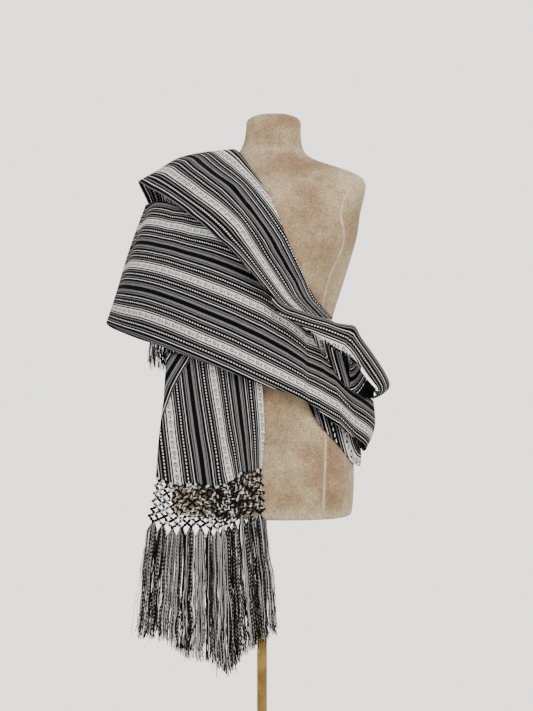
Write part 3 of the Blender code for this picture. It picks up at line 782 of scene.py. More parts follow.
@dataclass
class Stand:
    """The brass pole and the enamelled round base."""

    pole_radius: float = 0.0095
    base_radius: float = 0.175
    edge_height: float = 0.008
    height: float = 0.014
    hub_radius: float = 0.021
    hub_height: float = 0.038
    parting: float = 0.0005
    steps: int = 72

    def turned(
        self, name: str, profile: list[tuple[float, float]], finish: Finish, bevel: float
    ) -> bpy.types.Object:
        """Turns a profile of (radius, height) round the pole's axis.

        Args:
            name: the piece's name.
            profile: the outline from the axis down its outside to the axis.
            finish: what the piece is dressed in.
            bevel: radius of its rounded edges.

        Returns:
            The new piece.
        """
        bm = bmesh.new()
        verts = [bm.verts.new((r, 0.0, z)) for r, z in profile]
        edges = [bm.edges.new(pair) for pair in zip(verts, verts[1:])]
        bmesh.ops.spin(
            bm, geom=verts + edges, axis=(0, 0, 1), cent=(0, 0, 0), angle=2 * math.pi,
            steps=self.steps, use_merge=True,
        )
        bmesh.ops.remove_doubles(bm, verts=bm.verts, dist=1e-6)
        bmesh.ops.recalc_face_normals(bm, faces=bm.faces)
        mesh = bpy.data.meshes.new(name)
        bm.to_mesh(mesh)
        bm.free()
        mesh.shade_smooth()
        piece = new_piece(name, mesh, finish)
        edge = piece.modifiers.new("rounded edges", "BEVEL")
        edge.width, edge.segments = bevel, 3
        edge.limit_method, edge.angle_limit = "ANGLE", math.radians(32)
        edge.harden_normals = True
        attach(piece, BODY)
        return piece

    def build(self) -> None:
        """Makes the base and the pole in the places of their solids."""
        profile = [
            (0.0, self.hub_height),
            (self.hub_radius - 0.003, self.hub_height),
            (self.hub_radius, self.hub_height - 0.003),
            (self.hub_radius + 0.002, self.height + 0.006),
            (self.hub_radius + 0.010, self.height),
            (self.base_radius * 0.75, self.height - 0.002),
            (self.base_radius - 0.004, self.edge_height),
            (self.base_radius, self.edge_height - 0.004),
            (self.base_radius, 0.002),
            (self.base_radius - 0.002, 0.0),
            (0.0, 0.0),
        ]
        base = self.turned("stand_disc", profile, BlackEnamel(), 0.001)
        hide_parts("stand_base")
        foot = self.hub_height + self.parting
        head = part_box("stand_pole")[1][2]
        r = self.pole_radius
        pole = self.turned(
            "brass_pole", [(0.0, head), (r, head), (r, foot), (0.0, foot)], LacqueredBrass(), 0.0006
        )
        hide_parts("stand_pole")


# Cloth


class Row(NamedTuple):
    """One section across a stretch, from its upper edge to its lower edge."""

    up_x: float
    up_z: float
    up_out: float
    low_x: float
    low_z: float
    low_out: float
    bow: float


@dataclass(frozen=True)
class Layer:
    """What a wall lies on, and how clear of it the wall's middle is kept."""

    tree: BVHTree
    clearance: float
    reach: float


class Fold(Enum):
    """The cross-section of a crease."""

    RIDGE = "ridge"
    STEP = "step"


@dataclass(frozen=True)
class Crease:
    """A soft crease of the cloth.

    The path is in (across, height) of the drape. A ridge of negative height is
    a trough. A step is raised on the side at the path's left and sunk on the
    other.
    """

    path: tuple[tuple[float, float], ...]
    height: float  # mm
    width: float  # mm
    fold: Fold = Fold.RIDGE

    def rise(self, places: np.ndarray) -> np.ndarray:
        """Works out how far each place of a grid is raised.

        Args:
            places: the grid's (across, height, out) in centimetres.

        Returns:
            The rise at each point, in metres.
        """
        line = spline(np.array(self.path, float), 60)
        spots = places[..., None, :2] - line
        far = np.linalg.norm(spots, axis=-1)
        nearest = far.argmin(axis=-1)
        distance = np.take_along_axis(far, nearest[..., None], axis=-1)[..., 0] * 10 / self.width
        fade = np.sin(np.pi * (nearest + 0.5) / len(line)) ** 0.6
        shape = np.exp(-(distance**2))
        if self.fold is Fold.STEP:
            heading = np.gradient(line, axis=0)[nearest]
            offset = np.take_along_axis(spots, nearest[..., None, None], axis=-2)[..., 0, :]
            side = heading[..., 0] * offset[..., 1] - heading[..., 1] * offset[..., 0]
            shape = shape * np.tanh(distance * 2) * np.sign(side)
        return self.height * MM * fade * shape


@dataclass(frozen=True)
class Nudge:
    """A soft local shift of the cloth, in the drape's centimetres."""

    at: tuple[float, float, float]
    shift: tuple[float, float, float]
    spread: float

    def moved(self, places: np.ndarray) -> np.ndarray:
        """Returns a grid's places with the cloth about the spot shifted."""
        far = np.linalg.norm(places - self.at, axis=-1, keepdims=True)
        return places + np.array(self.shift) * np.exp(-((far / self.spread) ** 2))


class Edge(Enum):
    """An edge across a stretch."""

    UPPER = 0
    LOWER = 1


@dataclass(frozen=True)
class EdgeStripes:
    """Stripes that follow a stretch and are counted from one of its edges."""

    edge: Edge
    phase: float  # mm of the pattern at that edge

    def phases(self, cloth: "Cloth") -> np.ndarray:
        """Returns the pattern's mm at each point of a cloth's grid."""
        steps = np.linalg.norm(np.diff(cloth.points, axis=1), axis=2) / MM
        run = np.concatenate([np.zeros((len(steps), 1)), np.cumsum(steps, axis=1)], axis=1)
        first = cloth.down[0] < cloth.down[-1]
        if first != (self.edge is Edge.UPPER):
            run = run[:, -1:] - run
        return self.phase + run


@dataclass(frozen=True)
class PlainStripes:
    """Straight stripes across a stretch that was turned before it was laid."""

    angle: float  # degrees that they fall, from level
    phase: float

    def phases(self, cloth: "Cloth") -> np.ndarray:
        """Returns the pattern's mm at each point of a cloth's grid."""
        places = drape_places(cloth.points)
        fall = math.radians(self.angle)
        return self.phase + 10 * (places[..., 0] * math.sin(fall) + places[..., 1] * math.cos(fall))


@dataclass(frozen=True)
class RingStripes:
    """Stripes bent round a point, as where a fold turns on itself."""

    middle: tuple[float, float]
    narrowing: float  # how much closer they lie sideways
    phase: float
    most: float  # the pattern's mm where it stops, in a black stripe

    def phases(self, cloth: "Cloth") -> np.ndarray:
        """Returns the pattern's mm at each point of a cloth's grid."""
        places = drape_places(cloth.points)
        aside = (places[..., 0] - self.middle[0]) * self.narrowing
        away = np.hypot(aside, places[..., 1] - self.middle[1])
        return np.minimum(self.phase + 10 * away, self.most)


@dataclass(frozen=True)
class ChartRow:
    """Where stripes cross one section: share from the lower edge, and mm."""

    at: float
    shares: tuple[float, ...]
    marks: tuple[float, ...]


@dataclass(frozen=True)
class ChartedStripes:
    """Stripes that spread unevenly, charted at a few sections."""

    chart: tuple[ChartRow, ...]

    def phases(self, cloth: "Cloth") -> np.ndarray:
        """Returns the pattern's mm at each point of a cloth's grid."""
        shares = 1 - cloth.down
        lines = np.array([np.interp(shares, row.shares, row.marks) for row in self.chart])
        at = np.linspace(0, 1, len(cloth.points))
        places = [row.at for row in self.chart]
        return np.stack([np.interp(at, places, lines[:, j]) for j in range(lines.shape[1])], axis=1)


@dataclass(frozen=True)
class FoldedStripes:
    """Two runs of stripes that meet at a sharp fold across the stretch."""

    first: PlainStripes
    second: RingStripes
    share: float  # of the stretch's length, where the fold lies

    def phases(self, cloth: "Cloth") -> np.ndarray:
        """Returns the pattern's mm at each point of a cloth's grid."""
        before = np.linspace(0, 1, len(cloth.points))[:, None] < self.share
        return np.where(before, self.first.phases(cloth), self.second.phases(cloth))


Stripes = EdgeStripes | PlainStripes | RingStripes | ChartedStripes | FoldedStripes


@dataclass
class Cloth:
    """A grid of points that a stretch of cloth passes through."""

    points: np.ndarray
    down: np.ndarray  # share from the upper edge to the lower one, for each column

    def search_tree(self) -> BVHTree:
        """Returns a search tree of the grid's faces."""
        along, across = self.points.shape[:2]
        spots = [Vector(p) for p in self.points.reshape(-1, 3)]
        return BVHTree.FromPolygons(spots, grid_faces(along, across))

    def finer(self, factor: int) -> "Cloth":
        """Returns the same surface drawn through more points."""
        along, across = self.points.shape[:2]
        rows = spline(self.points, (along - 1) * factor + 1)
        both = spline(rows.transpose(1, 0, 2), (across - 1) * factor + 1).transpose(1, 0, 2)
        return Cloth(both, np.linspace(self.down[0], self.down[-1], both.shape[1]))

    def flipped(self) -> "Cloth":
        """Returns the cloth run the other way along, still facing outwards."""
        return Cloth(self.points[::-1, ::-1], self.down[::-1])

    def with_columns(self, count: int) -> "Cloth":
        """Returns the cloth drawn through that many points across."""
        points = spline(self.points.transpose(1, 0, 2), count).transpose(1, 0, 2)
        return Cloth(points, np.linspace(self.down[0], self.down[-1], count))


@dataclass
class Settling:
    """How a wall is lifted clear of what it lies on."""

    search_reach: float = 0.06
    edge_reach: float = 0.010
    edge_slope: float = 0.3
    facing_share: float = 0.35
    passes: int = 9
    probes: tuple[float, ...] = (0.25, 0.5, 0.75)

    def lifted(self, point: Vector, layers: list[Layer]) -> Vector:
        """Moves a point out until it is clear of every layer under it.

        Args:
            point: where it is.
            layers: what lies under it.

        Returns:
            Where it goes.
        """
        spot = point.copy()
        for layer in layers:
            foot, normal, _, _ = layer.tree.find_nearest(spot, layer.reach)
            if foot is None:
                continue
            rise = (spot - foot).dot(normal)
            aside = (spot - foot - normal * rise).length
            if rise < layer.clearance and aside < self.edge_reach + self.edge_slope * abs(rise):
                spot += normal * (layer.clearance - rise)
        return spot

    def drawn_out(self, point: Vector, layers: list[Layer], facing: Vector) -> Vector:
        """Draws a point that lies under a layer straight out to that layer's face."""
        spot = point.copy()
        for layer in layers:
            far = spot + facing * self.search_reach
            foot, normal, _, _ = layer.tree.ray_cast(far, -facing, self.search_reach)
            if foot is not None and normal.dot(facing) > self.facing_share:
                spot = foot + facing * layer.clearance
        return spot

    def lift_spans(self, grid: list[list[Vector]], layers: list[Layer]) -> list[list[Vector]]:
        """Lifts the points between which a straight edge or diagonal still dips."""
        shifts = [[Vector() for _ in row] for row in grid]
        for i, row in enumerate(grid):
            for j, point in enumerate(row):
                for k, m in ((i, j + 1), (i + 1, j), (i + 1, j + 1), (i + 1, j - 1)):
                    if k == len(grid) or m == len(row) or m < 0:
                        continue
                    for share in self.probes:
                        middle = point.lerp(grid[k][m], share)
                        shift = self.lifted(middle, layers) - middle
                        for a, b in ((i, j), (k, m)):
                            if shift.length > shifts[a][b].length:
                                shifts[a][b] = shift
        return [[p + s for p, s in zip(*pair)] for pair in zip(grid, shifts)]

    def settle(self, cloth: Cloth, layers: list[Layer], facing: np.ndarray) -> Cloth:
        """Lifts a whole wall clear of its layers and evens out what was moved.

        Args:
            cloth: the wall as lofted.
            layers: what it lies on.
            facing: the side that it is seen from.

        Returns:
            The settled wall.
        """
        front = Vector(facing)
        grid = [[self.drawn_out(Vector(p), layers, front) for p in row] for row in cloth.points]
        start = np.array([[tuple(p) for p in row] for row in grid])
        for turn in range(self.passes):
            grid = [[self.lifted(p, layers) for p in row] for row in grid]
            grid = self.lift_spans(grid, layers)
            if turn == self.passes - 1:
                break
            moved = np.array([[tuple(p) for p in row] for row in grid]) - start
            wide = np.pad(moved, ((1, 1), (1, 1), (0, 0)), mode="edge")
            around = (wide[:-2, 1:-1] + wide[2:, 1:-1] + wide[1:-1, :-2] + wide[1:-1, 2:]) / 4
            spots = start + 0.5 * moved + 0.5 * around
            grid = [[Vector(p) for p in row] for row in spots]
        return Cloth(np.array([[tuple(p) for p in row] for row in grid]), cloth.down)

    def lift_fine(self, cloth: Cloth, layers: list[Layer], passes: int = 2) -> Cloth:
        """Lifts a finely drawn wall clear of finely drawn layers."""
        points = cloth.points
        for _ in range(passes):
            shape = points.shape
            spots = [self.lifted(Vector(p), layers) for p in points.reshape(-1, 3)]
            moved = np.array([tuple(p) for p in spots]).reshape(shape) - points
            wide = np.pad(moved, ((1, 1), (1, 1), (0, 0)), mode="edge")
            around = (wide[:-2, 1:-1] + wide[2:, 1:-1] + wide[1:-1, :-2] + wide[1:-1, 2:]) / 4
            size = np.linalg.norm(moved, axis=2, keepdims=True)
            eased = np.where(size > 1e-6, moved, around)
            points = points + eased
        return Cloth(points, cloth.down)


@dataclass(frozen=True)
class Rest:
    """A stretch that another lies on, with the pitch and reach of the lift."""

    stretch: str
    pitch: float = 0.0034
    reach: float = 0.02


@dataclass
class Stretch:
    """One stretch of the shawl that shows."""

    name: str
    rows: tuple[Row, ...]
    along: int
    across: int
    stripes: Stripes
    lies_on: tuple[Rest, ...] = ()
    creases: tuple[Crease, ...] = ()
    nudges: tuple[Nudge, ...] = ()
    hem_dips: tuple[tuple[float, float], ...] = ()  # (share from the left, cm lower) at its last row
    from_behind: bool = False
    settled: Cloth | None = None
    fine: Cloth | None = None

    def loft(self) -> Cloth:
        """Lofts the stretch's middle surface through its rows.

        Returns:
            The grid, facing away from the form's axis.
        """
        table = np.array(self.rows)
        upper = spline(drape_points(table[:, 0:3]), self.along)[:, None]
        lower = spline(drape_points(table[:, 3:6]), self.along)[:, None]
        bows = spline(table[:, 6] * CM, self.along)[:, None, None]
        down = np.linspace(0, 1, self.across)
        shares = down[None, :, None]
        grid = upper * (1 - shares) + lower * shares
        normals = grid_normals(grid)
        inward = (normals[..., :2] * grid[..., :2]).sum() < 0
        grid = grid + normals * (-1 if inward else 1) * bows * np.sin(np.pi * shares)
        return Cloth(grid[:, ::-1], down[::-1]) if inward else Cloth(grid, down)

    def dip(self, cloth: Cloth, reach: float = 5.0) -> None:
        """Draws a cloth's last rows down to its uneven hem.

        Args:
            cloth: the fine cloth.
            reach: how far above the hem the dips begin, in centimetres.
        """
        places = drape_places(cloth.points)
        span = places[:, :, 0] - places[:, :, 0].min(axis=1, keepdims=True)
        shares = span / span.max(axis=1, keepdims=True)
        lower = np.interp(shares, *zip(*self.hem_dips))
        near = np.clip(1 - (places[:, :, 1] - places[-1, :, 1]) / reach, 0, 1)
        cloth.points = cloth.points - UP * (lower * near**2 * (3 - 2 * near))[..., None] * CM


@dataclass
class Shawl:
    """The shawl's cloth, laid and sewn stretch by stretch; its two nets and two fringes are knotted and
    hung apart.
    """

    form: DressForm
    settling: Settling = field(default_factory=Settling)
    form_clearance: float = 0.0019
    fineness: int = 4
    fine_pitch: float = 0.0015
    thickness: float = 0.0010
    stretches: dict[str, Stretch] = field(default_factory=dict)

    def lay(self, stretch: Stretch) -> None:
        """Settles a stretch on what lies under it, then draws and creases it finely.

        Args:
            stretch: the stretch, whose rests are already laid.
        """
        facing = -DRAPE_FRONT if stretch.from_behind else DRAPE_FRONT
        layers = [Layer(self.form.coarse_tree, self.form_clearance, self.settling.search_reach)]
        fine_layers = [Layer(self.form.tree, self.fine_pitch, 0.01)]
        for rest in stretch.lies_on:
            under = self.stretches[rest.stretch]
            layers.append(Layer(under.settled.search_tree(), rest.pitch, rest.reach))
            fine_layers.append(Layer(under.fine.search_tree(), self.fine_pitch, 0.006))
        stretch.settled = self.settling.settle(stretch.loft(), layers, facing)
        fine = stretch.settled.finer(self.fineness)
        places = drape_places(fine.points)
        for nudge in stretch.nudges:
            places = nudge.moved(places)
        fine.points = drape_points(places)
        rise = sum((crease.rise(places) for crease in stretch.creases), np.zeros(places.shape[:2]))
        fine.points = fine.points + grid_normals(fine.points) * rise[..., None]
        stretch.fine = self.settling.lift_fine(fine, fine_layers)
        if stretch.hem_dips:
            stretch.dip(stretch.fine)
        self.stretches[stretch.name] = stretch

    def sew(
        self, name: str, parts: list[tuple[Cloth, np.ndarray]],
        nodes: list[str],
    ) -> bpy.types.Object:
        """Makes a shell of one or more stretches that run on into each other.

        Args:
            name: the piece's name.
            parts: the fine cloths in order, each with its stripes' mm.
            nodes: the solids that it stands for.

        Returns:
            The dressed piece.
        """
        points = np.concatenate([cloth.points for cloth, _ in parts])
        phases = np.concatenate([phase for _, phase in parts])
        seam = 0
        for cloth, _ in parts[:-1]:
            seam += len(cloth.points)
            self.ease(points, phases, seam)
        steps = np.linalg.norm(np.diff(points, axis=0), axis=2).mean(axis=1)
        run = np.concatenate([[0.0], np.cumsum(steps)])
        along, across = points.shape[:2]
        mesh = bpy.data.meshes.new(name)
        faces = grid_faces(along, across)
        mesh.from_pydata(points.reshape(-1, 3).tolist(), [], faces)
        corners = np.array(faces).ravel()
        uv = np.stack([phases.ravel() * MM, np.repeat(run, across)], axis=1)[corners]
        mesh.uv_layers.new(name=CLOTH_UV).data.foreach_set("uv", uv.ravel())
        mesh.shade_smooth()
        piece = new_piece(name, mesh, StripedCotton())
        shell = piece.modifiers.new("cloth thickness", "SOLIDIFY")
        shell.thickness, shell.offset = self.thickness, 0.0
        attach(piece, BODY)
        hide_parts(*nodes)
        return piece

    def ease(self, points: np.ndarray, phases: np.ndarray, seam: int, reach: int = 5) -> None:
        """Evens out the rows about the place where two stretches run together."""
        low, high = seam - reach, seam + reach
        for grid in (points, phases):
            for _ in range(6):
                middle = (grid[low - 1 : high - 1] + grid[low + 1 : high + 1]) / 2
                grid[low:high] = 0.5 * grid[low:high] + 0.5 * middle

    def build(self) -> None:
        """Lays and sews the whole shawl, from the inside to the outside."""
        for stretch in drape():
            self.lay(stretch)
            log.info("laid %s", stretch.name)

        def ready(name: str, columns: int = 0, flip: bool = False) -> tuple[Cloth, np.ndarray]:
            """Returns a fine stretch with its stripes."""
            stretch = self.stretches[name]
            cloth = stretch.fine.with_columns(columns) if columns else stretch.fine
            phases = stretch.stripes.phases(cloth)
            return (cloth.flipped(), phases[::-1, ::-1]) if flip else (cloth, phases)

        self.sew("front_end_cloth", [ready("hanging_end")], ["hanging_end"])
        self.sew("turned_corner", [ready("hanging_flap")], ["hanging_flap"])
        self.sew(
            "wound_wrap",
            [
                ready("hip_underlayer", 45),
                ready("lower_wrap_back", 45, True),
                ready("lower_wrap_front", 45),
                ready("back_band", 45),
            ],
            ["hip_underlayer", "lower_wrap_back", "lower_wrap_front", "back_band"],
        )
        self.sew("shoulder_band", [ready("front_band")], ["front_band"])
        self.sew("pocket_of_the_turn", [ready("cowl_pocket")], ["cowl_pocket"])
        self.sew("hip_turn", [ready("hip_cowl")], ["hip_cowl"])


def drape() -> list[Stretch]:
    """Lists the stretches in the order in which they lie on each other."""
    seated = 0.0022
    return [
        Stretch(
            "hanging_end",
            (  # from the left shoulder down inside the wrap to the front hem
                Row(-5.4, 140.6, -4.6, -13.0, 136.9, -7.2, 0.2),
                Row(-4.6, 138.0, -0.6, -13.4, 134.4, -2.8, 0.3),
                Row(-3.6, 132.8, 4.6, -13.9, 128.8, 2.8, 0.4),
                Row(-2.8, 126.2, 8.6, -14.6, 122.0, 6.4, 0.5),
                Row(-1.8, 118.0, 10.8, -15.6, 114.6, 8.0, 0.6),
                Row(-0.6, 108.6, 12.4, -16.6, 107.6, 9.6, 0.6),
                Row(0.1, 98.4, 12.8, -17.4, 99.8, 10.2, 0.6),
                Row(0.5, 90.6, 12.8, -18.3, 93.0, 10.4, 0.5),
                Row(0.3, 86.0, 12.8, -18.9, 87.6, 10.6, 0.4),
                Row(0.1, 82.3, 12.8, -19.3, 81.7, 10.8, 0.3),
            ),
            27, 12,
            ChartedStripes((
                ChartRow(0.60, (0.0, 0.46, 0.957, 1.0), (61.0, 150.0, 250.0, 257.0)),
                ChartRow(0.77, (0.0, 0.087, 0.583, 0.98, 1.0), (35.0, 50.0, 150.0, 250.0, 254.0)),
                ChartRow(1.00, (0.0, 0.219, 0.72, 1.0), (12.0, 50.0, 150.0, 250.0)),
            )),
            creases=(
                Crease(((-8.2, 101.0), (-8.0, 93.0), (-9.0, 82.0)), -4.0, 9.0),
                Crease(((-6.4, 101.0), (-6.0, 93.0), (-6.4, 82.0)), 3.5, 8.0),
                Crease(((-13.4, 96.0), (-13.2, 90.0), (-13.8, 82.0)), 2.0, 12.0),
                Crease(((-3.0, 98.0), (-2.6, 90.0), (-3.2, 82.0)), -2.5, 9.0),
            ),
            nudges=(Nudge((-13.6, 134.4, -2.8), (-3.2, 0.8, 0.6), 3.2),),
            hem_dips=(
                (0.0, 0.1), (0.2, 1.6), (0.38, 1.3), (0.56, 2.1), (0.65, 1.6), (0.73, 1.0),
                (0.82, -0.6), (1.0, -1.0),
            ),
        ),
        Stretch(
            "hip_underlayer",
            (  # the band's inner side, steep under the wrap, to the hip
                Row(12.2, 109.8, 9.4, 6.8, 110.6, 12.4, 0.2),
                Row(15.0, 107.4, 7.6, 7.4, 106.2, 12.8, 0.3),
                Row(16.8, 105.4, 6.4, 7.7, 101.0, 12.8, 0.3),
                Row(17.8, 103.8, 5.2, 8.3, 95.6, 12.8, 0.3),
                Row(18.3, 102.6, 4.0, 10.5, 91.5, 12.2, 0.3),
                Row(18.5, 101.8, 2.8, 13.5, 88.0, 10.2, 0.3),
                Row(18.5, 101.2, 1.4, 17.1, 83.4, 5.6, 0.4),
            ),
            12, 9,
            PlainStripes(75.0, -330.0),
            nudges=(Nudge((18.2, 84.6, 1.0), (0.7, -0.1, 0.0), 2.4),),
        ),
        Stretch(
            "lower_wrap_back",
            (  # from the left arm's fold across the back to the right hip
                Row(-21.6, 133.2, -5.26, -30.0, 110.4, -4.66, 0.0),
                Row(-22.6, 133.2, -9.8, -29.2, 109.4, -9.2, 0.8),
                Row(-19.6, 131.8, -14.2, -24.6, 107.4, -13.4, 1.4),
                Row(-14.4, 129.6, -16.2, -17.6, 105.0, -15.6, 1.0),
                Row(-7.2, 126.2, -16.4, -9.2, 101.2, -15.6, 0.5),
                Row(0.2, 121.4, -14.8, -1.0, 96.6, -14.6, 0.3),
                Row(7.0, 115.4, -12.4, 6.6, 92.6, -12.8, 0.3),
                Row(12.6, 109.0, -9.0, 13.2, 88.4, -9.4, 0.4),
                Row(16.9, 103.8, -4.0, 17.6, 84.6, -4.0, 0.4),
                Row(18.4, 101.2, 0.6, 18.4, 82.9, 1.0, 0.3),
            ),
            18, 11,
            ChartedStripes((
                ChartRow(0.000, (0.0, 0.13, 0.46, 0.8, 1.0), (12.0, 50.0, 150.0, 250.0, 309.0)),
                ChartRow(0.300, (0.0, 1.0), (14.0, 300.0)),
                ChartRow(0.700, (0.0, 1.0), (26.0, 270.0)),
                ChartRow(1.000, (0.0, 1.0), (40.0, 230.0)),
            )),
            creases=(
                Crease(((-24.0, 124.0), (-10.0, 118.0), (6.0, 104.0), (16.0, 94.0)), 4.0, 16.0),
                Crease(((-22.0, 116.0), (-8.0, 110.0), (8.0, 98.0)), -3.0, 14.0),
                Crease(((-26.0, 112.0), (-12.0, 106.0), (4.0, 98.0), (14.0, 90.0)), 3.0, 13.0),
            ),
            nudges=(Nudge((18.2, 84.6, 1.0), (0.7, -0.1, 0.0), 2.4),),
            from_behind=True,
        ),
        Stretch(
            "hanging_flap",
            (  # the corner turned over along the hanging end's left edge
                Row(-12.6, 104.0, 10.4, -17.3, 104.6, 10.0, 0.0),
                Row(-15.4, 99.4, 10.2, -17.6, 99.6, 10.1, 0.0),
                Row(-17.0, 95.6, 10.2, -17.9, 95.4, 10.2, 0.0),
                Row(-17.9, 93.0, 10.2, -18.3, 92.9, 10.3, 0.0),
            ),
            6, 4,
            EdgeStripes(Edge.UPPER, 77.0),
            lies_on=(Rest("hanging_end", seated),),
        ),
        Stretch(
            "lower_wrap_front",
            (  # from the left arm's fold across the front to the right hip
                Row(-21.6, 133.2, -5.2, -30.0, 110.4, -4.6, 0.0),
                Row(-19.8, 133.4, -1.6, -26.9, 108.9, 0.4, 1.6),
                Row(-15.8, 132.0, 3.0, -22.4, 107.3, 5.6, 1.8),
                Row(-11.8, 129.2, 6.8, -17.2, 105.4, 9.6, 1.4),
                Row(-8.0, 125.6, 9.4, -11.4, 103.2, 12.6, 0.9),
                Row(-4.0, 121.4, 11.2, -5.6, 101.0, 14.0, 0.5),
                Row(0.0, 117.0, 12.2, 0.2, 98.8, 14.6, 0.4),
                Row(4.2, 112.6, 12.4, 4.8, 97.2, 14.6, 0.4),
                Row(7.6, 109.2, 12.2, 8.6, 95.4, 14.2, 0.4),
                Row(10.4, 105.2, 12.0, 11.6, 93.0, 13.2, 0.4),
                Row(12.9, 102.0, 11.4, 14.3, 90.9, 11.6, 0.4),
                Row(15.6, 99.4, 10.2, 17.0, 89.0, 9.2, 0.5),
                Row(18.6, 97.4, 8.0, 19.2, 87.3, 6.2, 0.6),
                Row(20.7, 95.6, 4.6, 19.8, 86.0, 2.6, 0.8),
                Row(20.5, 95.6, 0.4, 19.2, 86.2, -0.6, 0.6),
            ),
            26, 12,
            ChartedStripes((
                ChartRow(0.000, (0.0, 0.13, 0.46, 0.8, 1.0), (12.0, 50.0, 150.0, 250.0, 309.0)),
                ChartRow(0.071, (0.0, 0.146, 0.487, 0.828, 1.0), (8.0, 50.0, 150.0, 250.0, 300.0)),
                ChartRow(0.143, (0.0, 0.167, 0.513, 0.842, 1.0), (7.0, 50.0, 150.0, 250.0, 298.0)),
                ChartRow(0.214, (0.0, 0.176, 0.548, 0.9, 1.0), (7.0, 50.0, 150.0, 250.0, 278.0)),
                ChartRow(0.286, (0.0, 0.179, 0.597, 1.0), (8.0, 50.0, 150.0, 247.0)),
                ChartRow(0.357, (0.0, 0.191, 0.666, 1.0), (11.0, 50.0, 150.0, 220.0)),
                ChartRow(0.429, (0.0, 0.189, 0.752, 1.0), (16.0, 50.0, 150.0, 194.0)),
                ChartRow(0.500, (0.0, 0.184, 0.816, 1.0), (22.0, 50.0, 150.0, 179.0)),
                ChartRow(0.571, (0.0, 0.189, 0.83, 1.0), (24.0, 50.0, 150.0, 176.0)),
                ChartRow(0.643, (0.0, 0.283, 1.0), (15.0, 50.0, 140.0)),
                ChartRow(0.714, (0.0, 0.363, 1.0), (10.0, 50.0, 120.0)),
                ChartRow(0.786, (0.0, 0.3, 1.0), (20.0, 50.0, 120.0)),
                ChartRow(1.000, (0.0, 0.3, 1.0), (26.0, 50.0, 115.0)),
            )),
            lies_on=(Rest("hanging_end", seated), Rest("hip_underlayer"), Rest("hanging_flap")),
            creases=(
                Crease(((-22.0, 124.0), (-10.0, 119.0), (2.0, 109.0), (12.0, 99.5)), 2.2, 13.0),
                Crease(((-24.0, 119.0), (-12.0, 113.5), (0.0, 105.0), (12.0, 97.0)), -2.0, 12.0),
                Crease(((-26.0, 113.0), (-14.0, 109.0), (0.0, 101.6), (10.0, 96.0)), 1.8, 11.0),
                Crease(((-4.0, 119.8), (-1.0, 117.4), (3.0, 114.8), (7.4, 112.0)), -4.5, 9.0),
                Crease(((11.0, 98.6), (15.5, 95.2), (19.6, 92.6)), 3.0, 6.0, Fold.STEP),
                Crease(((14.5, 98.8), (17.5, 97.0), (20.0, 95.8)), -4.0, 3.0),
                Crease(((14.0, 97.2), (17.0, 95.3), (20.2, 93.8)), -3.0, 3.5),
                Crease(((13.0, 95.4), (17.0, 92.2), (19.6, 90.4)), 2.6, 5.0, Fold.STEP),
            ),
            nudges=(Nudge((19.8, 86.0, 2.0), (-0.8, 0.2, 0.0), 2.6),),
        ),
        Stretch(
            "back_band",
            (  # from the right hip up the back to the left shoulder
                Row(20.2, 96.2, -0.6, 18.9, 86.4, -1.2, 0.6),
                Row(18.0, 99.8, -6.2, 17.4, 88.2, -6.0, 0.6),
                Row(13.6, 105.6, -10.4, 14.6, 92.2, -9.8, 0.5),
                Row(8.4, 112.6, -12.8, 11.4, 98.2, -12.0, 0.5),
                Row(4.0, 120.0, -13.8, 7.4, 105.4, -13.8, 0.4),
                Row(0.8, 127.0, -13.4, 2.4, 113.8, -14.8, 0.4),
                Row(-1.6, 133.4, -12.0, -3.2, 122.4, -15.4, 0.4),
                Row(-3.2, 138.6, -9.6, -7.0, 131.0, -14.0, 0.3),
                Row(-4.8, 141.2, -7.0, -10.4, 138.0, -10.4, 0.2),
            ),
            18, 8,
            EdgeStripes(Edge.LOWER, 26.0),
            lies_on=(Rest("lower_wrap_back"),),
            creases=(
                Crease(((17.0, 94.0), (9.0, 106.0), (2.0, 120.0), (-5.0, 134.0)), 3.5, 12.0),
                Crease(((15.0, 97.0), (8.0, 108.0), (1.0, 123.0)), -3.0, 9.0),
            ),
            from_behind=True,
        ),
        Stretch(
            "front_band",
            (  # from the hem behind the left shoulder down to the right waist
                Row(-9.4, 136.0, -13.0, -21.0, 130.6, -10.6, 0.2),
                Row(-7.2, 140.2, -10.2, -22.6, 134.6, -9.2, 0.5),
                Row(-5.9, 143.4, -6.4, -23.6, 137.2, -7.0, 0.9),
                Row(-4.4, 142.4, -2.2, -21.9, 136.0, -3.4, 0.9),
                Row(-2.3, 139.2, 1.6, -18.6, 134.1, 0.6, 0.8),
                Row(-0.3, 136.0, 4.8, -15.0, 131.5, 4.6, 0.7),
                Row(1.6, 132.6, 7.4, -11.5, 128.7, 8.6, 0.6),
                Row(3.1, 129.0, 9.6, -8.3, 125.8, 11.4, 0.5),
                Row(4.6, 125.0, 11.4, -5.3, 122.9, 13.4, 0.4),
                Row(6.4, 121.0, 11.8, -2.5, 119.8, 14.4, 0.4),
                Row(8.0, 117.6, 11.4, 0.2, 116.5, 14.9, 0.3),
                Row(9.8, 114.4, 10.6, 3.4, 113.5, 15.0, 0.3),
                Row(12.9, 110.8, 8.4, 6.8, 110.6, 13.6, 0.3),
            ),
            24, 11,
            ChartedStripes((
                ChartRow(0.000, (0.0, 0.25, 0.57, 0.89, 1.0), (189.0, 150.0, 100.0, 50.0, 34.0)),
                ChartRow(0.083, (0.0, 0.25, 0.57, 0.89, 1.0), (189.0, 150.0, 100.0, 50.0, 34.0)),
                ChartRow(0.167, (0.0, 0.2, 0.45, 0.78, 1.0), (189.0, 150.0, 100.0, 50.0, 34.0)),
                ChartRow(0.250, (0.0, 0.264, 0.565, 0.832, 1.0), (189.0, 150.0, 100.0, 50.0, 34.0)),
                ChartRow(0.333, (0.0, 0.293, 0.608, 0.885, 1.0), (189.0, 150.0, 100.0, 50.0, 34.0)),
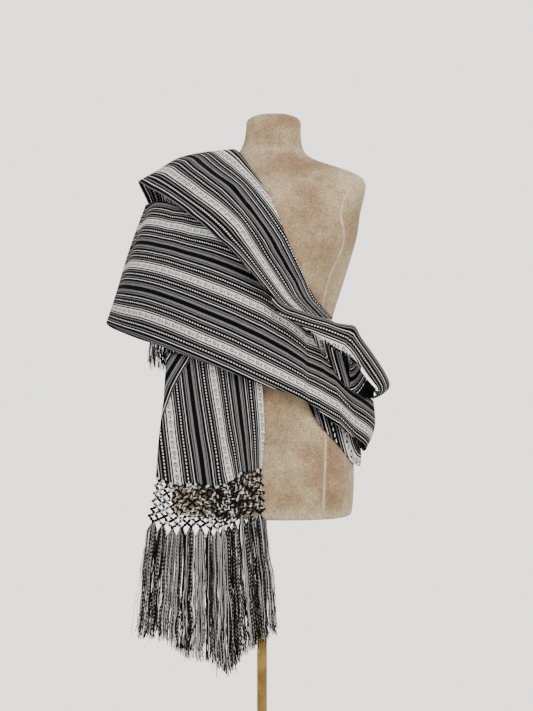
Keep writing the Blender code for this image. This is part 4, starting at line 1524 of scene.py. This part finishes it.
                ChartRow(0.417, (0.0, 0.314, 0.669, 0.922, 1.0), (189.0, 150.0, 100.0, 50.0, 36.0)),
                ChartRow(0.500, (0.0, 0.355, 0.661, 0.962, 1.0), (189.0, 150.0, 100.0, 50.0, 44.0)),
                ChartRow(0.583, (0.0, 0.39, 0.691, 1.0), (189.0, 150.0, 100.0, 54.0)),
                ChartRow(0.667, (0.0, 0.371, 0.75, 1.0), (189.0, 150.0, 100.0, 67.0)),
                ChartRow(0.750, (0.0, 0.338, 0.75, 1.0), (189.0, 150.0, 100.0, 69.0)),
                ChartRow(0.833, (0.0, 0.331, 0.758, 1.0), (189.0, 150.0, 100.0, 70.0)),
                ChartRow(0.917, (0.0, 0.26, 0.66, 1.0), (180.0, 150.0, 100.0, 62.0)),
                ChartRow(1.000, (0.0, 0.26, 0.66, 1.0), (180.0, 150.0, 100.0, 62.0)),
            )),
            lies_on=(
                Rest("hanging_end"), Rest("hip_underlayer"), Rest("lower_wrap_front"), Rest("back_band"),
            ),
            creases=(
                Crease(
                    ((-9.8, 136.8), (-6.2, 135.2), (-3.4, 133.0), (-1.9, 128.8), (0.0, 124.8),
                     (1.9, 120.9), (4.4, 117.2), (6.9, 114.0)),
                    4.0, 7.0, Fold.STEP,
                ),
                Crease(((-14.0, 133.0), (-9.0, 128.0), (-5.0, 122.0), (-1.0, 117.0)), 2.5, 11.0),
                Crease(((0.8, 133.6), (3.6, 126.6), (7.0, 118.0)), 1.8, 10.0),
                Crease(
                    ((-20.0, 134.9), (-15.0, 131.5), (-8.3, 125.8), (-2.5, 119.8), (3.4, 113.5)),
                    3.2, 7.0,
                ),
            ),
            nudges=(
                Nudge((-16.2, 139.6, -5.0), (0.0, 1.2, 0.0), 5.0),
                Nudge((-10.5, 142.0, -4.0), (0.0, 0.5, 0.0), 4.0),
                Nudge((-22.8, 137.0, -6.0), (-0.4, 0.3, 0.0), 3.0),
            ),
        ),
        Stretch(
            "cowl_pocket",
            (  # the cup inside the cowl, from its mouth down to the wrap
                Row(10.6, 106.8, 15.9, 11.3, 104.2, 11.6, -0.2),
                Row(12.9, 105.2, 15.3, 13.1, 101.2, 10.8, -0.8),
                Row(15.5, 103.7, 14.2, 15.1, 98.4, 9.6, -1.1),
                Row(17.4, 101.9, 12.9, 16.9, 97.3, 8.3, -1.0),
                Row(19.2, 99.6, 11.4, 18.6, 96.3, 6.7, -0.6),
                Row(20.9, 97.9, 9.2, 20.3, 96.1, 4.6, -0.2),
            ),
            9, 6,
            FoldedStripes(PlainStripes(74.0, -330.0), RingStripes((16.0, 104.3), 2.0, 54.0, 133.0), 0.44),
            lies_on=(Rest("hip_underlayer", seated, 0.005), Rest("lower_wrap_front", seated, 0.005)),
        ),
        Stretch(
            "hip_cowl",
            (  # from the waist out over the right hip, where it gathers behind
                Row(2.3, 114.6, 15.0, 1.5, 113.8, 15.0, 0.0),
                Row(4.4, 113.0, 15.2, 3.1, 111.6, 15.4, 0.2),
                Row(7.6, 111.9, 16.2, 5.7, 110.0, 17.0, 0.2),
                Row(10.2, 111.0, 15.6, 8.0, 108.7, 17.0, 0.3),
                Row(12.9, 110.4, 14.6, 10.3, 107.3, 16.6, 0.4),
                Row(15.2, 109.5, 13.4, 12.9, 105.7, 16.0, 0.5),
                Row(16.9, 108.5, 12.4, 15.6, 104.2, 14.9, 0.3),
                Row(19.4, 105.5, 11.0, 17.6, 102.4, 13.6, 0.4),
                Row(21.9, 102.0, 9.2, 19.5, 100.1, 12.0, 0.4),
                Row(23.5, 99.0, 7.2, 21.3, 98.1, 9.6, 0.2),
                Row(22.9, 97.4, 4.6, 20.9, 96.4, 6.4, 0.2),
                Row(20.9, 97.6, 1.4, 19.9, 96.0, 2.4, 0.2),
            ),
            18, 6,
            ChartedStripes((
                ChartRow(0.00, (0.0, 1.0), (24.0, 6.0)),
                ChartRow(0.30, (0.0, 1.0), (44.0, 6.0)),
                ChartRow(0.50, (0.0, 1.0), (54.0, 6.0)),
                ChartRow(0.64, (0.0, 1.0), (42.0, 5.0)),
                ChartRow(1.00, (0.0, 1.0), (36.0, 5.0)),
            )),
            lies_on=(
                Rest("hip_underlayer", seated, 0.005), Rest("lower_wrap_front", seated, 0.005),
                Rest("front_band", seated, 0.005), Rest("cowl_pocket", seated, 0.005),
            ),
            creases=(Crease(((16.4, 108.8), (15.9, 106.6), (15.4, 104.8)), 3.2, 3.5, Fold.STEP),),
            nudges=(
                Nudge((16.5, 108.8, 12.8), (0.35, 0.5, 0.0), 1.5),
                Nudge((13.2, 110.4, 14.4), (0.0, -0.3, 0.0), 1.4),
            ),
        ),
    ]


# Nets and fringes


class Maker:
    """A geometry tree with named sizes that turns a skeleton into a plain mesh."""

    def __init__(self, name: str, sizes: dict[str, float | int]) -> None:
        """Starts the tree with its inputs.

        Args:
            name: the tree's name.
            sizes: its inputs' names and values.
        """
        self.sizes = sizes
        self.tree = bpy.data.node_groups.new(name, "GeometryNodeTree")
        face = self.tree.interface
        face.new_socket("Skeleton", in_out="INPUT", socket_type="NodeSocketGeometry")
        for label, value in sizes.items():
            kind = "NodeSocketInt" if isinstance(value, int) else "NodeSocketFloat"
            face.new_socket(label, in_out="INPUT", socket_type=kind)
        face.new_socket("Made", in_out="OUTPUT", socket_type="NodeSocketGeometry")
        self.given = self.add("NodeGroupInput").outputs

    def add(self, kind: str, inputs: dict | None = None, **settings: object) -> bpy.types.Node:
        """Adds a node to the tree."""
        return add_node(self.tree, kind, inputs, **settings)

    def close(self, made: bpy.types.NodeSocket, finish: Finish) -> None:
        """Ends the tree with real geometry in its finish."""
        real = self.add("GeometryNodeRealizeInstances", {0: made}).outputs[0]
        dressed = self.add("GeometryNodeSetMaterial", {0: real, "Material": finish.material()})
        self.add("NodeGroupOutput", {0: dressed.outputs[0]})

    def run(self, skeleton: bpy.types.Object, name: str) -> bpy.types.Object:
        """Runs the tree on a skeleton and returns the plain piece.

        Args:
            skeleton: the object that holds the points or lines.
            name: the piece's name.

        Returns:
            The new piece. The skeleton is removed.
        """
        modifier = skeleton.modifiers.new("made", "NODES")
        modifier.node_group = self.tree
        for item in self.tree.interface.items_tree:
            if item.in_out == "INPUT" and item.name in self.sizes:
                modifier[item.identifier] = self.sizes[item.name]
        seen = skeleton.evaluated_get(bpy.context.evaluated_depsgraph_get())
        mesh = bpy.data.meshes.new_from_object(seen)
        mesh.name = name
        skeleton.modifiers.remove(modifier)
        bpy.data.objects.remove(skeleton, do_unlink=True)
        mesh.shade_smooth()
        return new_piece(name, mesh)


def skeleton(
    name: str, points: list[np.ndarray], edges: list[tuple[int, int]], values: dict[str, list]
) -> bpy.types.Object:
    """Makes an object of bare points and edges, with a value of its own at each point.

    Args:
        name: the object's name.
        points: its points.
        edges: pairs of point numbers.
        values: named numbers or vectors, one for each point.

    Returns:
        The object, linked into the scene.
    """
    mesh = bpy.data.meshes.new(name)
    mesh.from_pydata([tuple(p) for p in points], edges, [])
    for label, numbers in values.items():
        vector = np.ndim(numbers[0]) == 1
        kept = mesh.attributes.new(label, "FLOAT_VECTOR" if vector else "FLOAT", "POINT")
        kept.data.foreach_set("vector" if vector else "value", np.array(numbers, float).ravel())
    return new_piece(name, mesh)


@dataclass
class KnottedNet:
    """Warp threads knotted into diamonds below a hem."""

    name: str
    node: str
    columns: int
    rows: int
    height: float = 0.068
    first_knot: float = 0.004  # from the hem to the first knots
    strand_radius: float = 0.00165
    strand_parting: float = 0.00155
    turns: float = 1.0
    knot_size: float = 0.0036
    unevenness: float = 0.0011
    seed: int = 7
    bunch: tuple[tuple[float, float], ...] = ((0.0, 0.0), (1.0, 1.0))
    flare: tuple[tuple[float, float], ...] = ((0.0, 0.0), (1.0, 0.0))  # share across, metres aside

    def tree(self) -> Maker:
        """Builds the tree: a twisted pair of strands on each edge, a knot at each point."""
        maker = Maker(
            self.name + "_tree",
            {
                "Strand Radius": self.strand_radius,
                "Strand Parting": self.strand_parting,
                "Turns": self.turns,
                "Knot Size": self.knot_size,
                "Unevenness": self.unevenness,
                "Seed": self.seed,
            },
        )
        given = maker.given
        loose = maker.add(
            "FunctionNodeRandomValue", {"Min": (-1.0,) * 3, "Max": (1.0,) * 3, "Seed": given["Seed"]},
            data_type="FLOAT_VECTOR",
        ).outputs[0]
        shift = maker.add(
            "ShaderNodeVectorMath", {0: loose, "Scale": given["Unevenness"]}, operation="SCALE"
        ).outputs[0]
        lattice = maker.add(
            "GeometryNodeSetPosition", {0: given["Skeleton"], "Offset": shift}
        ).outputs[0]

        # one leg: two strands wound about each other, one metre long, along Z
        strands = []
        for number in (0, 1):
            spiral = maker.add(
                "GeometryNodeCurveSpiral",
                {
                    "Resolution": 9, "Rotations": given["Turns"], "Start Radius": given["Strand Parting"],
                    "End Radius": given["Strand Parting"], "Height": 1.0, "Reverse": False,
                },
            ).outputs[0]
            turned = maker.add(
                "GeometryNodeTransform", {0: spiral, "Rotation": (0.0, 0.0, math.pi * number)}
            ).outputs[0]
            section = maker.add(
                "GeometryNodeCurvePrimitiveCircle", {"Resolution": 5, "Radius": given["Strand Radius"]}
            ).outputs[0]
            along = maker.add("GeometryNodeSplineParameter").outputs["Factor"]
            marked = maker.add(
                "GeometryNodeStoreNamedAttribute", {0: turned, "Name": ALONG, "Value": along},
                data_type="FLOAT", domain="POINT",
            ).outputs[0]
            tube = maker.add(
                "GeometryNodeCurveToMesh", {0: marked, 1: section, "Fill Caps": True}
            ).outputs[0]
            ply = maker.add(
                "GeometryNodeStoreNamedAttribute", {0: tube, "Name": "ply", "Value": float(number)},
                data_type="FLOAT", domain="POINT",
            ).outputs[0]
            strands.append(ply)
        join = maker.add("GeometryNodeJoinGeometry")
        for strand in strands:
            maker.tree.links.new(strand, join.inputs[0])

        ends = maker.add("GeometryNodeInputMeshEdgeVertices")
        reach = maker.add(
            "ShaderNodeVectorMath", {0: ends.outputs["Position 2"], 1: ends.outputs["Position 1"]},
            operation="SUBTRACT",
        ).outputs[0]
        length = maker.add("ShaderNodeVectorMath", {0: reach}, operation="LENGTH").outputs["Value"]
        spots = maker.add("GeometryNodeMeshToPoints", {0: lattice}, mode="EDGES")
        # what the edges know is kept on their points before the edges are gone
        held = maker.add(
            "GeometryNodeStoreNamedAttribute", {0: lattice, "Name": "reach", "Value": reach},
            data_type="FLOAT_VECTOR", domain="EDGE",
        ).outputs[0]
        held = maker.add(
            "GeometryNodeStoreNamedAttribute", {0: held, "Name": "length", "Value": length},
            data_type="FLOAT", domain="EDGE",
        ).outputs[0]
        maker.tree.links.new(held, spots.inputs[0])
        reach_kept = maker.add(
            "GeometryNodeInputNamedAttribute", {"Name": "reach"}, data_type="FLOAT_VECTOR"
        ).outputs[0]
        length_kept = maker.add(
            "GeometryNodeInputNamedAttribute", {"Name": "length"}, data_type="FLOAT"
        ).outputs[0]
        aim = maker.add(
            "FunctionNodeAlignRotationToVector", {"Vector": reach_kept}, axis="Z"
        ).outputs[0]
        back = maker.add(
            "ShaderNodeVectorMath", {0: reach_kept, "Scale": -0.5}, operation="SCALE"
        ).outputs[0]
        start = maker.add(
            "GeometryNodeSetPosition", {0: spots.outputs[0], "Offset": back}
        ).outputs[0]
        size = maker.add("ShaderNodeCombineXYZ", {0: 1.0, 1: 1.0, 2: length_kept}).outputs[0]
        legs = maker.add(
            "GeometryNodeInstanceOnPoints",
            {"Points": start, "Instance": join.outputs[0], "Rotation": aim, "Scale": size},
        ).outputs[0]
        tone = maker.add(
            "FunctionNodeRandomValue", {"Min": 0.0, "Max": 1.0, "Seed": given["Seed"]}, data_type="FLOAT"
        ).outputs[1]
        legs = maker.add(
            "GeometryNodeStoreNamedAttribute", {0: legs, "Name": "draw", "Value": tone},
            data_type="FLOAT", domain="INSTANCE",
        ).outputs[0]

        ball = maker.add(
            "GeometryNodeMeshIcoSphere", {"Radius": given["Knot Size"], "Subdivisions": 2}
        ).outputs[0]
        squash = maker.add(
            "FunctionNodeRandomValue",
            {"Min": (0.8, 0.8, 0.6), "Max": (1.15, 1.0, 0.95), "Seed": given["Seed"]},
            data_type="FLOAT_VECTOR",
        ).outputs[0]
        spin = maker.add(
            "FunctionNodeRandomValue", {"Min": (-0.8,) * 3, "Max": (0.8,) * 3, "Seed": given["Seed"]},
            data_type="FLOAT_VECTOR",
        ).outputs[0]
        knots = maker.add(
            "GeometryNodeInstanceOnPoints",
            {
                "Points": maker.add("GeometryNodeMeshToPoints", {0: lattice}).outputs[0],
                "Instance": ball, "Rotation": spin, "Scale": squash,
            },
        ).outputs[0]
        knots = maker.add(
            "GeometryNodeStoreNamedAttribute", {0: knots, "Name": "draw", "Value": tone},
            data_type="FLOAT", domain="INSTANCE",
        ).outputs[0]
        both = maker.add("GeometryNodeJoinGeometry")
        for part in (legs, knots):
            maker.tree.links.new(part, both.inputs[0])
        real = maker.add("GeometryNodeRealizeInstances", {0: both.outputs[0]}).outputs[0]

        # a strand is black, white or speckled by its draw, and its partner differs
        draw = maker.add(
            "GeometryNodeInputNamedAttribute", {"Name": "draw"}, data_type="FLOAT"
        ).outputs[0]
        ply = maker.add(
            "GeometryNodeInputNamedAttribute", {"Name": "ply"}, data_type="FLOAT"
        ).outputs[0]
        swing = maker.add(
            "ShaderNodeMath", {0: ply, 1: 0.55, 2: draw}, operation="MULTIPLY_ADD"
        ).outputs[0]
        wrapped = maker.add("ShaderNodeMath", {0: swing}, operation="FRACT").outputs[0]
        tone = maker.add(
            "ShaderNodeMapRange",
            {"Value": wrapped, "From Min": 0.62, "From Max": 0.78, "To Min": 0.05, "To Max": 0.95},
        ).outputs[0]
        real = maker.add(
            "GeometryNodeStoreNamedAttribute", {0: real, "Name": TONE, "Value": tone},
            data_type="FLOAT", domain="POINT",
        ).outputs[0]
        # each strand's speckle starts at its own place
        share = maker.add(
            "GeometryNodeInputNamedAttribute", {"Name": ALONG}, data_type="FLOAT"
        ).outputs[0]
        run = maker.add(
            "ShaderNodeMath", {0: share, 1: length_kept}, operation="MULTIPLY"
        ).outputs[0]
        run = maker.add("ShaderNodeMath", {0: draw, 1: run}, operation="ADD").outputs[0]
        real = maker.add(
            "GeometryNodeStoreNamedAttribute", {0: real, "Name": ALONG, "Value": run},
            data_type="FLOAT", domain="POINT",
        ).outputs[0]
        maker.close(real, TwistedCotton())
        return maker

    def build(self, top: np.ndarray) -> np.ndarray:
        """Knots the net below a hem.

        Args:
            top: the hem's line, from the left to the right.

        Returns:
            The points that its lowest knots hang at.
        """
        shares = np.linspace(0, 1, len(top))
        aside = (top[-1] - top[0]) * (1.0, 1.0, 0.0)
        aside = aside / np.linalg.norm(aside)

        def place(i: float, drop: float) -> np.ndarray:
            """Returns the point at a column, that far below the hem."""
            share = np.interp(i / (2 * self.columns), *zip(*self.bunch))
            spot = np.array([np.interp(share, shares, top[:, k]) for k in range(3)])
            flare = np.interp(share, *zip(*self.flare)) * (max(drop, 0.0) / self.height) ** 1.5
            return spot - UP * drop + aside * flare

        points, edges, numbers = [], [], {}
        step = (self.height - self.first_knot) / (2 * self.rows)
        for j in range(2 * self.rows + 1):
            for i in range(2 * self.columns + 1):
                if (i + j) % 2:
                    numbers[i, j] = len(points)
                    points.append(place(i, self.first_knot + j * step))
        for (i, j), k in numbers.items():
            for side in (-1, 1):
                if (i + side, j + 1) in numbers:
                    edges.append((k, numbers[i + side, j + 1]))
            if j == 0:
                for side in (-0.6, 0.0, 0.6):
                    edges.append((k, len(points)))
                    points.append(place(i + side, -0.001))
        net = self.tree().run(skeleton(self.name, points, edges, {}), self.name)
        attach(net, BODY)
        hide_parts(self.node)
        log.info("%s: %d knots", self.name, len(numbers))
        last = 2 * self.rows
        return np.array([points[numbers[i, last]] for i in range(1, 2 * self.columns, 2)])


class Tip(NamedTuple):
    """How low a fringe reaches at a share of its width, and how white it is there."""

    share: float
    height: float
    white: float


@dataclass
class Fringe:
    """Loose threads that hang from the net's lowest knots."""

    name: str
    node: str
    tips: tuple[Tip, ...]
    threads: int = 62  # from each knot
    thread_radius: float = 0.00062
    sway: float = 0.012
    sway_scale: float = 150.0
    spread: float = 0.24
    depth: float = 0.010
    ragged: float = 0.018
    seed: int = 11

    def tree(self) -> Maker:
        """Builds the tree: one swaying thread hangs from each point."""
        maker = Maker(
            self.name + "_tree",
            {
                "Thread Radius": self.thread_radius,
                "Sway": self.sway,
                "Sway Scale": self.sway_scale,
                "Fan Share": 0.07,
            },
        )
        given = maker.given
        line = maker.add(
            "GeometryNodeCurvePrimitiveLine", {"Start": (0, 0, 0), "End": (0, 0, -1)}
        ).outputs[0]
        line = maker.add("GeometryNodeResampleCurve", {0: line, "Count": 15}).outputs[0]
        drop = maker.add(
            "GeometryNodeInputNamedAttribute", {"Name": "drop"}, data_type="FLOAT"
        ).outputs[0]
        size = maker.add("ShaderNodeCombineXYZ", {0: 1.0, 1: 1.0, 2: drop}).outputs[0]
        spots = maker.add("GeometryNodeMeshToPoints", {0: given["Skeleton"]}).outputs[0]
        hung = maker.add(
            "GeometryNodeInstanceOnPoints", {"Points": spots, "Instance": line, "Scale": size}
        ).outputs[0]
        real = maker.add("GeometryNodeRealizeInstances", {0: hung}).outputs[0]
        factor = maker.add("GeometryNodeSplineParameter").outputs["Factor"]
        fan = maker.add(
            "GeometryNodeInputNamedAttribute", {"Name": "fan"}, data_type="FLOAT_VECTOR"
        ).outputs[0]
        lean = maker.add(
            "GeometryNodeInputNamedAttribute", {"Name": "lean"}, data_type="FLOAT_VECTOR"
        ).outputs[0]
        opened = maker.add(
            "ShaderNodeMapRange", {"Value": factor, "From Max": given["Fan Share"]},
            interpolation_type="SMOOTHSTEP",
        ).outputs[0]
        fanned = maker.add(
            "ShaderNodeVectorMath", {0: fan, "Scale": opened}, operation="SCALE"
        ).outputs[0]
        bent = maker.add("ShaderNodeMath", {0: factor, 1: 0.85}, operation="POWER").outputs[0]
        leaned = maker.add(
            "ShaderNodeVectorMath", {0: lean, "Scale": bent}, operation="SCALE"
        ).outputs[0]
        position = maker.add("GeometryNodeInputPosition").outputs[0]
        scaled = maker.add(
            "ShaderNodeVectorMath", {0: position, 1: (1.0, 1.0, 0.16)}, operation="MULTIPLY"
        ).outputs[0]
        noise = maker.add(
            "ShaderNodeTexNoise", {"Vector": scaled, "Scale": given["Sway Scale"], "Detail": 2.0}
        ).outputs["Color"]
        centred = maker.add(
            "ShaderNodeVectorMath", {0: noise, 1: (0.5, 0.5, 0.5)}, operation="SUBTRACT"
        ).outputs[0]
        grown = maker.add(
            "ShaderNodeMath", {0: given["Sway"], 1: factor}, operation="MULTIPLY"
        ).outputs[0]
        swayed = maker.add(
            "ShaderNodeVectorMath", {0: centred, "Scale": grown}, operation="SCALE"
        ).outputs[0]
        level = maker.add(
            "ShaderNodeVectorMath", {0: swayed, 1: (2.0, 2.0, 0.0)}, operation="MULTIPLY"
        ).outputs[0]
        moved = maker.add(
            "ShaderNodeVectorMath", {0: fanned, 1: leaned}, operation="ADD"
        ).outputs[0]
        moved = maker.add("ShaderNodeVectorMath", {0: moved, 1: level}, operation="ADD").outputs[0]
        real = maker.add("GeometryNodeSetPosition", {0: real, "Offset": moved}).outputs[0]
        start = maker.add(
            "GeometryNodeInputNamedAttribute", {"Name": "start"}, data_type="FLOAT"
        ).outputs[0]
        length = maker.add("GeometryNodeSplineParameter").outputs["Length"]
        length = maker.add("ShaderNodeMath", {0: length, 1: start}, operation="ADD").outputs[0]
        real = maker.add(
            "GeometryNodeStoreNamedAttribute", {0: real, "Name": ALONG, "Value": length},
            data_type="FLOAT", domain="POINT",
        ).outputs[0]
        section = maker.add(
            "GeometryNodeCurvePrimitiveCircle", {"Resolution": 3, "Radius": given["Thread Radius"]}
        ).outputs[0]
        tubes = maker.add(
            "GeometryNodeCurveToMesh", {0: real, 1: section, "Fill Caps": True}
        ).outputs[0]
        maker.close(tubes, TwistedCotton())
        return maker

    def build(self, knots: np.ndarray) -> None:
        """Hangs the threads from the net's lowest knots.

        Args:
            knots: their places, from the left to the right.
        """
        chance = np.random.default_rng(self.seed)
        side = knots[-1] - knots[0]
        width = np.linalg.norm(side)
        side = side / width
        front = np.cross(side, UP)
        pitch = width / (len(knots) - 1)
        table = np.array(self.tips)
        points, values = [], {"drop": [], "fan": [], "lean": [], "start": [], TONE: []}
        for knot in knots:
            for _ in range(self.threads):
                root = knot + side * chance.normal(0, 0.0008) + front * chance.normal(0, 0.0008)
                aside = chance.uniform(-0.55, 0.55) * pitch
                out = chance.uniform(-0.5, 0.5) * self.depth
                share = float(np.clip(((knot - knots[0]) @ side + aside) / width, 0, 1))
                reach = np.interp(share, table[:, 0], table[:, 1])
                white = np.interp(share, table[:, 0], table[:, 2])
                drop = root[2] - reach + chance.uniform(-0.4, 1.0) * -self.ragged
                points.append(root)
                values["drop"].append(drop)
                values["fan"].append(side * aside + front * out)
                stray = chance.normal(0, 0.012) if chance.random() < 0.08 else chance.normal(0, 0.002)
                values["start"].append(chance.random())
                values["lean"].append(side * ((share - 0.5) * width * self.spread + stray))
                pale = 0.90 if chance.random() < 0.55 * white else 0.03
                values[TONE].append(0.5 if chance.random() < 0.22 else pale)
        fringe = self.tree().run(skeleton(self.name, points, [], values), self.name)
        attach(fringe, BODY)
        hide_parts(self.node)
        log.info("%s: %d threads", self.name, len(points))


# Studio


@dataclass
class Studio:
    """The photograph's view, soft light and a pale floor."""

    target_across: float = 0.0085
    target_height: float = 1.0406
    distance: float = 3.0
    lens: float = 80.5
    floor_radius: float = 1.45
    wall: str = "#E2DFDC"
    wall_strength: float = 3.0
    room_strength: float = 1.15

    def build(self) -> None:
        """Places the camera, the lights, the floor and the wall's light."""
        scene = bpy.context.scene
        target = Vector(DRAPE_SIDE) * self.target_across + Vector(UP) * self.target_height
        lens = bpy.data.cameras.new("view")
        lens.lens, lens.sensor_width = self.lens, 36.0
        camera = bpy.data.objects.new("view", lens)
        camera.location = target + Vector(DRAPE_FRONT) * self.distance
        camera.rotation_euler = (math.pi / 2, 0.0, DRAPE_TURN)
        scene.collection.objects.link(camera)
        scene.camera = camera
        self.add_light("key", target, (1.1, 1.3, 2.0), 1.3, 42.0, "#FFF6EC")
        self.add_light("fill", target, (-1.8, 0.3, 1.9), 1.8, 8.0, "#F1F4FF")
        world = scene.world or bpy.data.worlds.new("pale wall")
        scene.world = world
        world.use_nodes = True
        glow = world.node_tree.nodes["Background"]
        glow.inputs["Color"].default_value = linear(self.wall)
        # the wall behind is lit by itself and shines brighter than the room does on the object
        seen = add_node(world.node_tree, "ShaderNodeLightPath").outputs[0]
        extra = self.wall_strength - self.room_strength
        strength = add_node(
            world.node_tree, "ShaderNodeMath", {0: seen, 1: extra, 2: self.room_strength},
            operation="MULTIPLY_ADD",
        )
        world.node_tree.links.new(strength.outputs[0], glow.inputs["Strength"])
        bm = bmesh.new()
        bmesh.ops.create_circle(bm, cap_ends=True, radius=self.floor_radius, segments=96)
        mesh = bpy.data.meshes.new("floor")
        bm.to_mesh(mesh)
        bm.free()
        new_piece("floor", mesh, PaleFloor())

    def add_light(
        self, name: str, target: Vector, offset: tuple[float, float, float], size: float,
        power: float, colour: str,
    ) -> None:
        """Adds a soft square light that faces the target.

        Args:
            name: the light's name.
            target: what it shines at.
            offset: how far it stands across, above and before the target.
            size: its side.
            power: in watts.
            colour: as an sRGB hex value.
        """
        lamp = bpy.data.lights.new(name, "AREA")
        lamp.size, lamp.energy = size, power
        lamp.color = linear(colour)[:3]
        light = bpy.data.objects.new(name, lamp)
        across, above, before = offset
        away = Vector(DRAPE_SIDE) * across + Vector(UP) * above + Vector(DRAPE_FRONT) * before
        light.location = target + away
        light.rotation_euler = away.to_track_quat("Z", "Y").to_euler()
        bpy.context.scene.collection.objects.link(light)


def hem_line(cloth: Cloth, last: bool) -> np.ndarray:
    """Returns a stretch's first or last row, from the left to the right."""
    line = cloth.points[-1 if last else 0]
    return line if line[0, 0] < line[-1, 0] else line[::-1]


def main() -> None:
    """Builds the studio, the form, its stand and the shawl."""
    logging.basicConfig(level=logging.INFO, format="%(name)s: %(message)s")
    Studio().build()
    form = DressForm()
    form.build()
    Stand().build()
    log.info("form and stand are dressed")
    shawl = Shawl(form)
    shawl.build()
    front_net = KnottedNet(
        "front_net", "net_front", 14, 5, height=0.075,
        bunch=((0.0, 0.0), (0.5, 0.55), (0.78, 0.76), (1.0, 1.0)),
        flare=((0.0, -0.013), (0.5, 0.0), (1.0, 0.002)),
    )
    front_knots = front_net.build(hem_line(shawl.stretches["hanging_end"].fine, True))
    Fringe(
        "front_fringe",
        "fringe_front",
        (
            Tip(0.00, 0.533, 0.62),
            Tip(0.06, 0.531, 0.25),
            Tip(0.12, 0.529, 0.55),
            Tip(0.18, 0.526, 0.55),
            Tip(0.36, 0.496, 0.50),
            Tip(0.45, 0.492, 0.72),
            Tip(0.52, 0.487, 0.45),
            Tip(0.60, 0.478, 0.66),
            Tip(0.66, 0.462, 0.42),
            Tip(0.72, 0.482, 0.10),
            Tip(0.78, 0.500, 0.12),
            Tip(0.83, 0.508, 0.72),
            Tip(0.93, 0.524, 0.45),
            Tip(1.00, 0.540, 0.66),
        ),
    ).build(front_knots)
    back_net = KnottedNet("back_net", "net_back", 8, 3, seed=9)
    back_knots = back_net.build(hem_line(shawl.stretches["front_band"].fine, False))
    Fringe(
        "back_fringe",
        "fringe_back",
        (
            Tip(0.00, 1.024, 0.6),
            Tip(0.25, 1.018, 0.6),
            Tip(0.60, 1.034, 0.7),
            Tip(1.00, 1.060, 0.6),
        ),
        threads=44,
        spread=0.18,
        seed=13,
    ).build(back_knots)


if __name__ == "__main__":
    main()
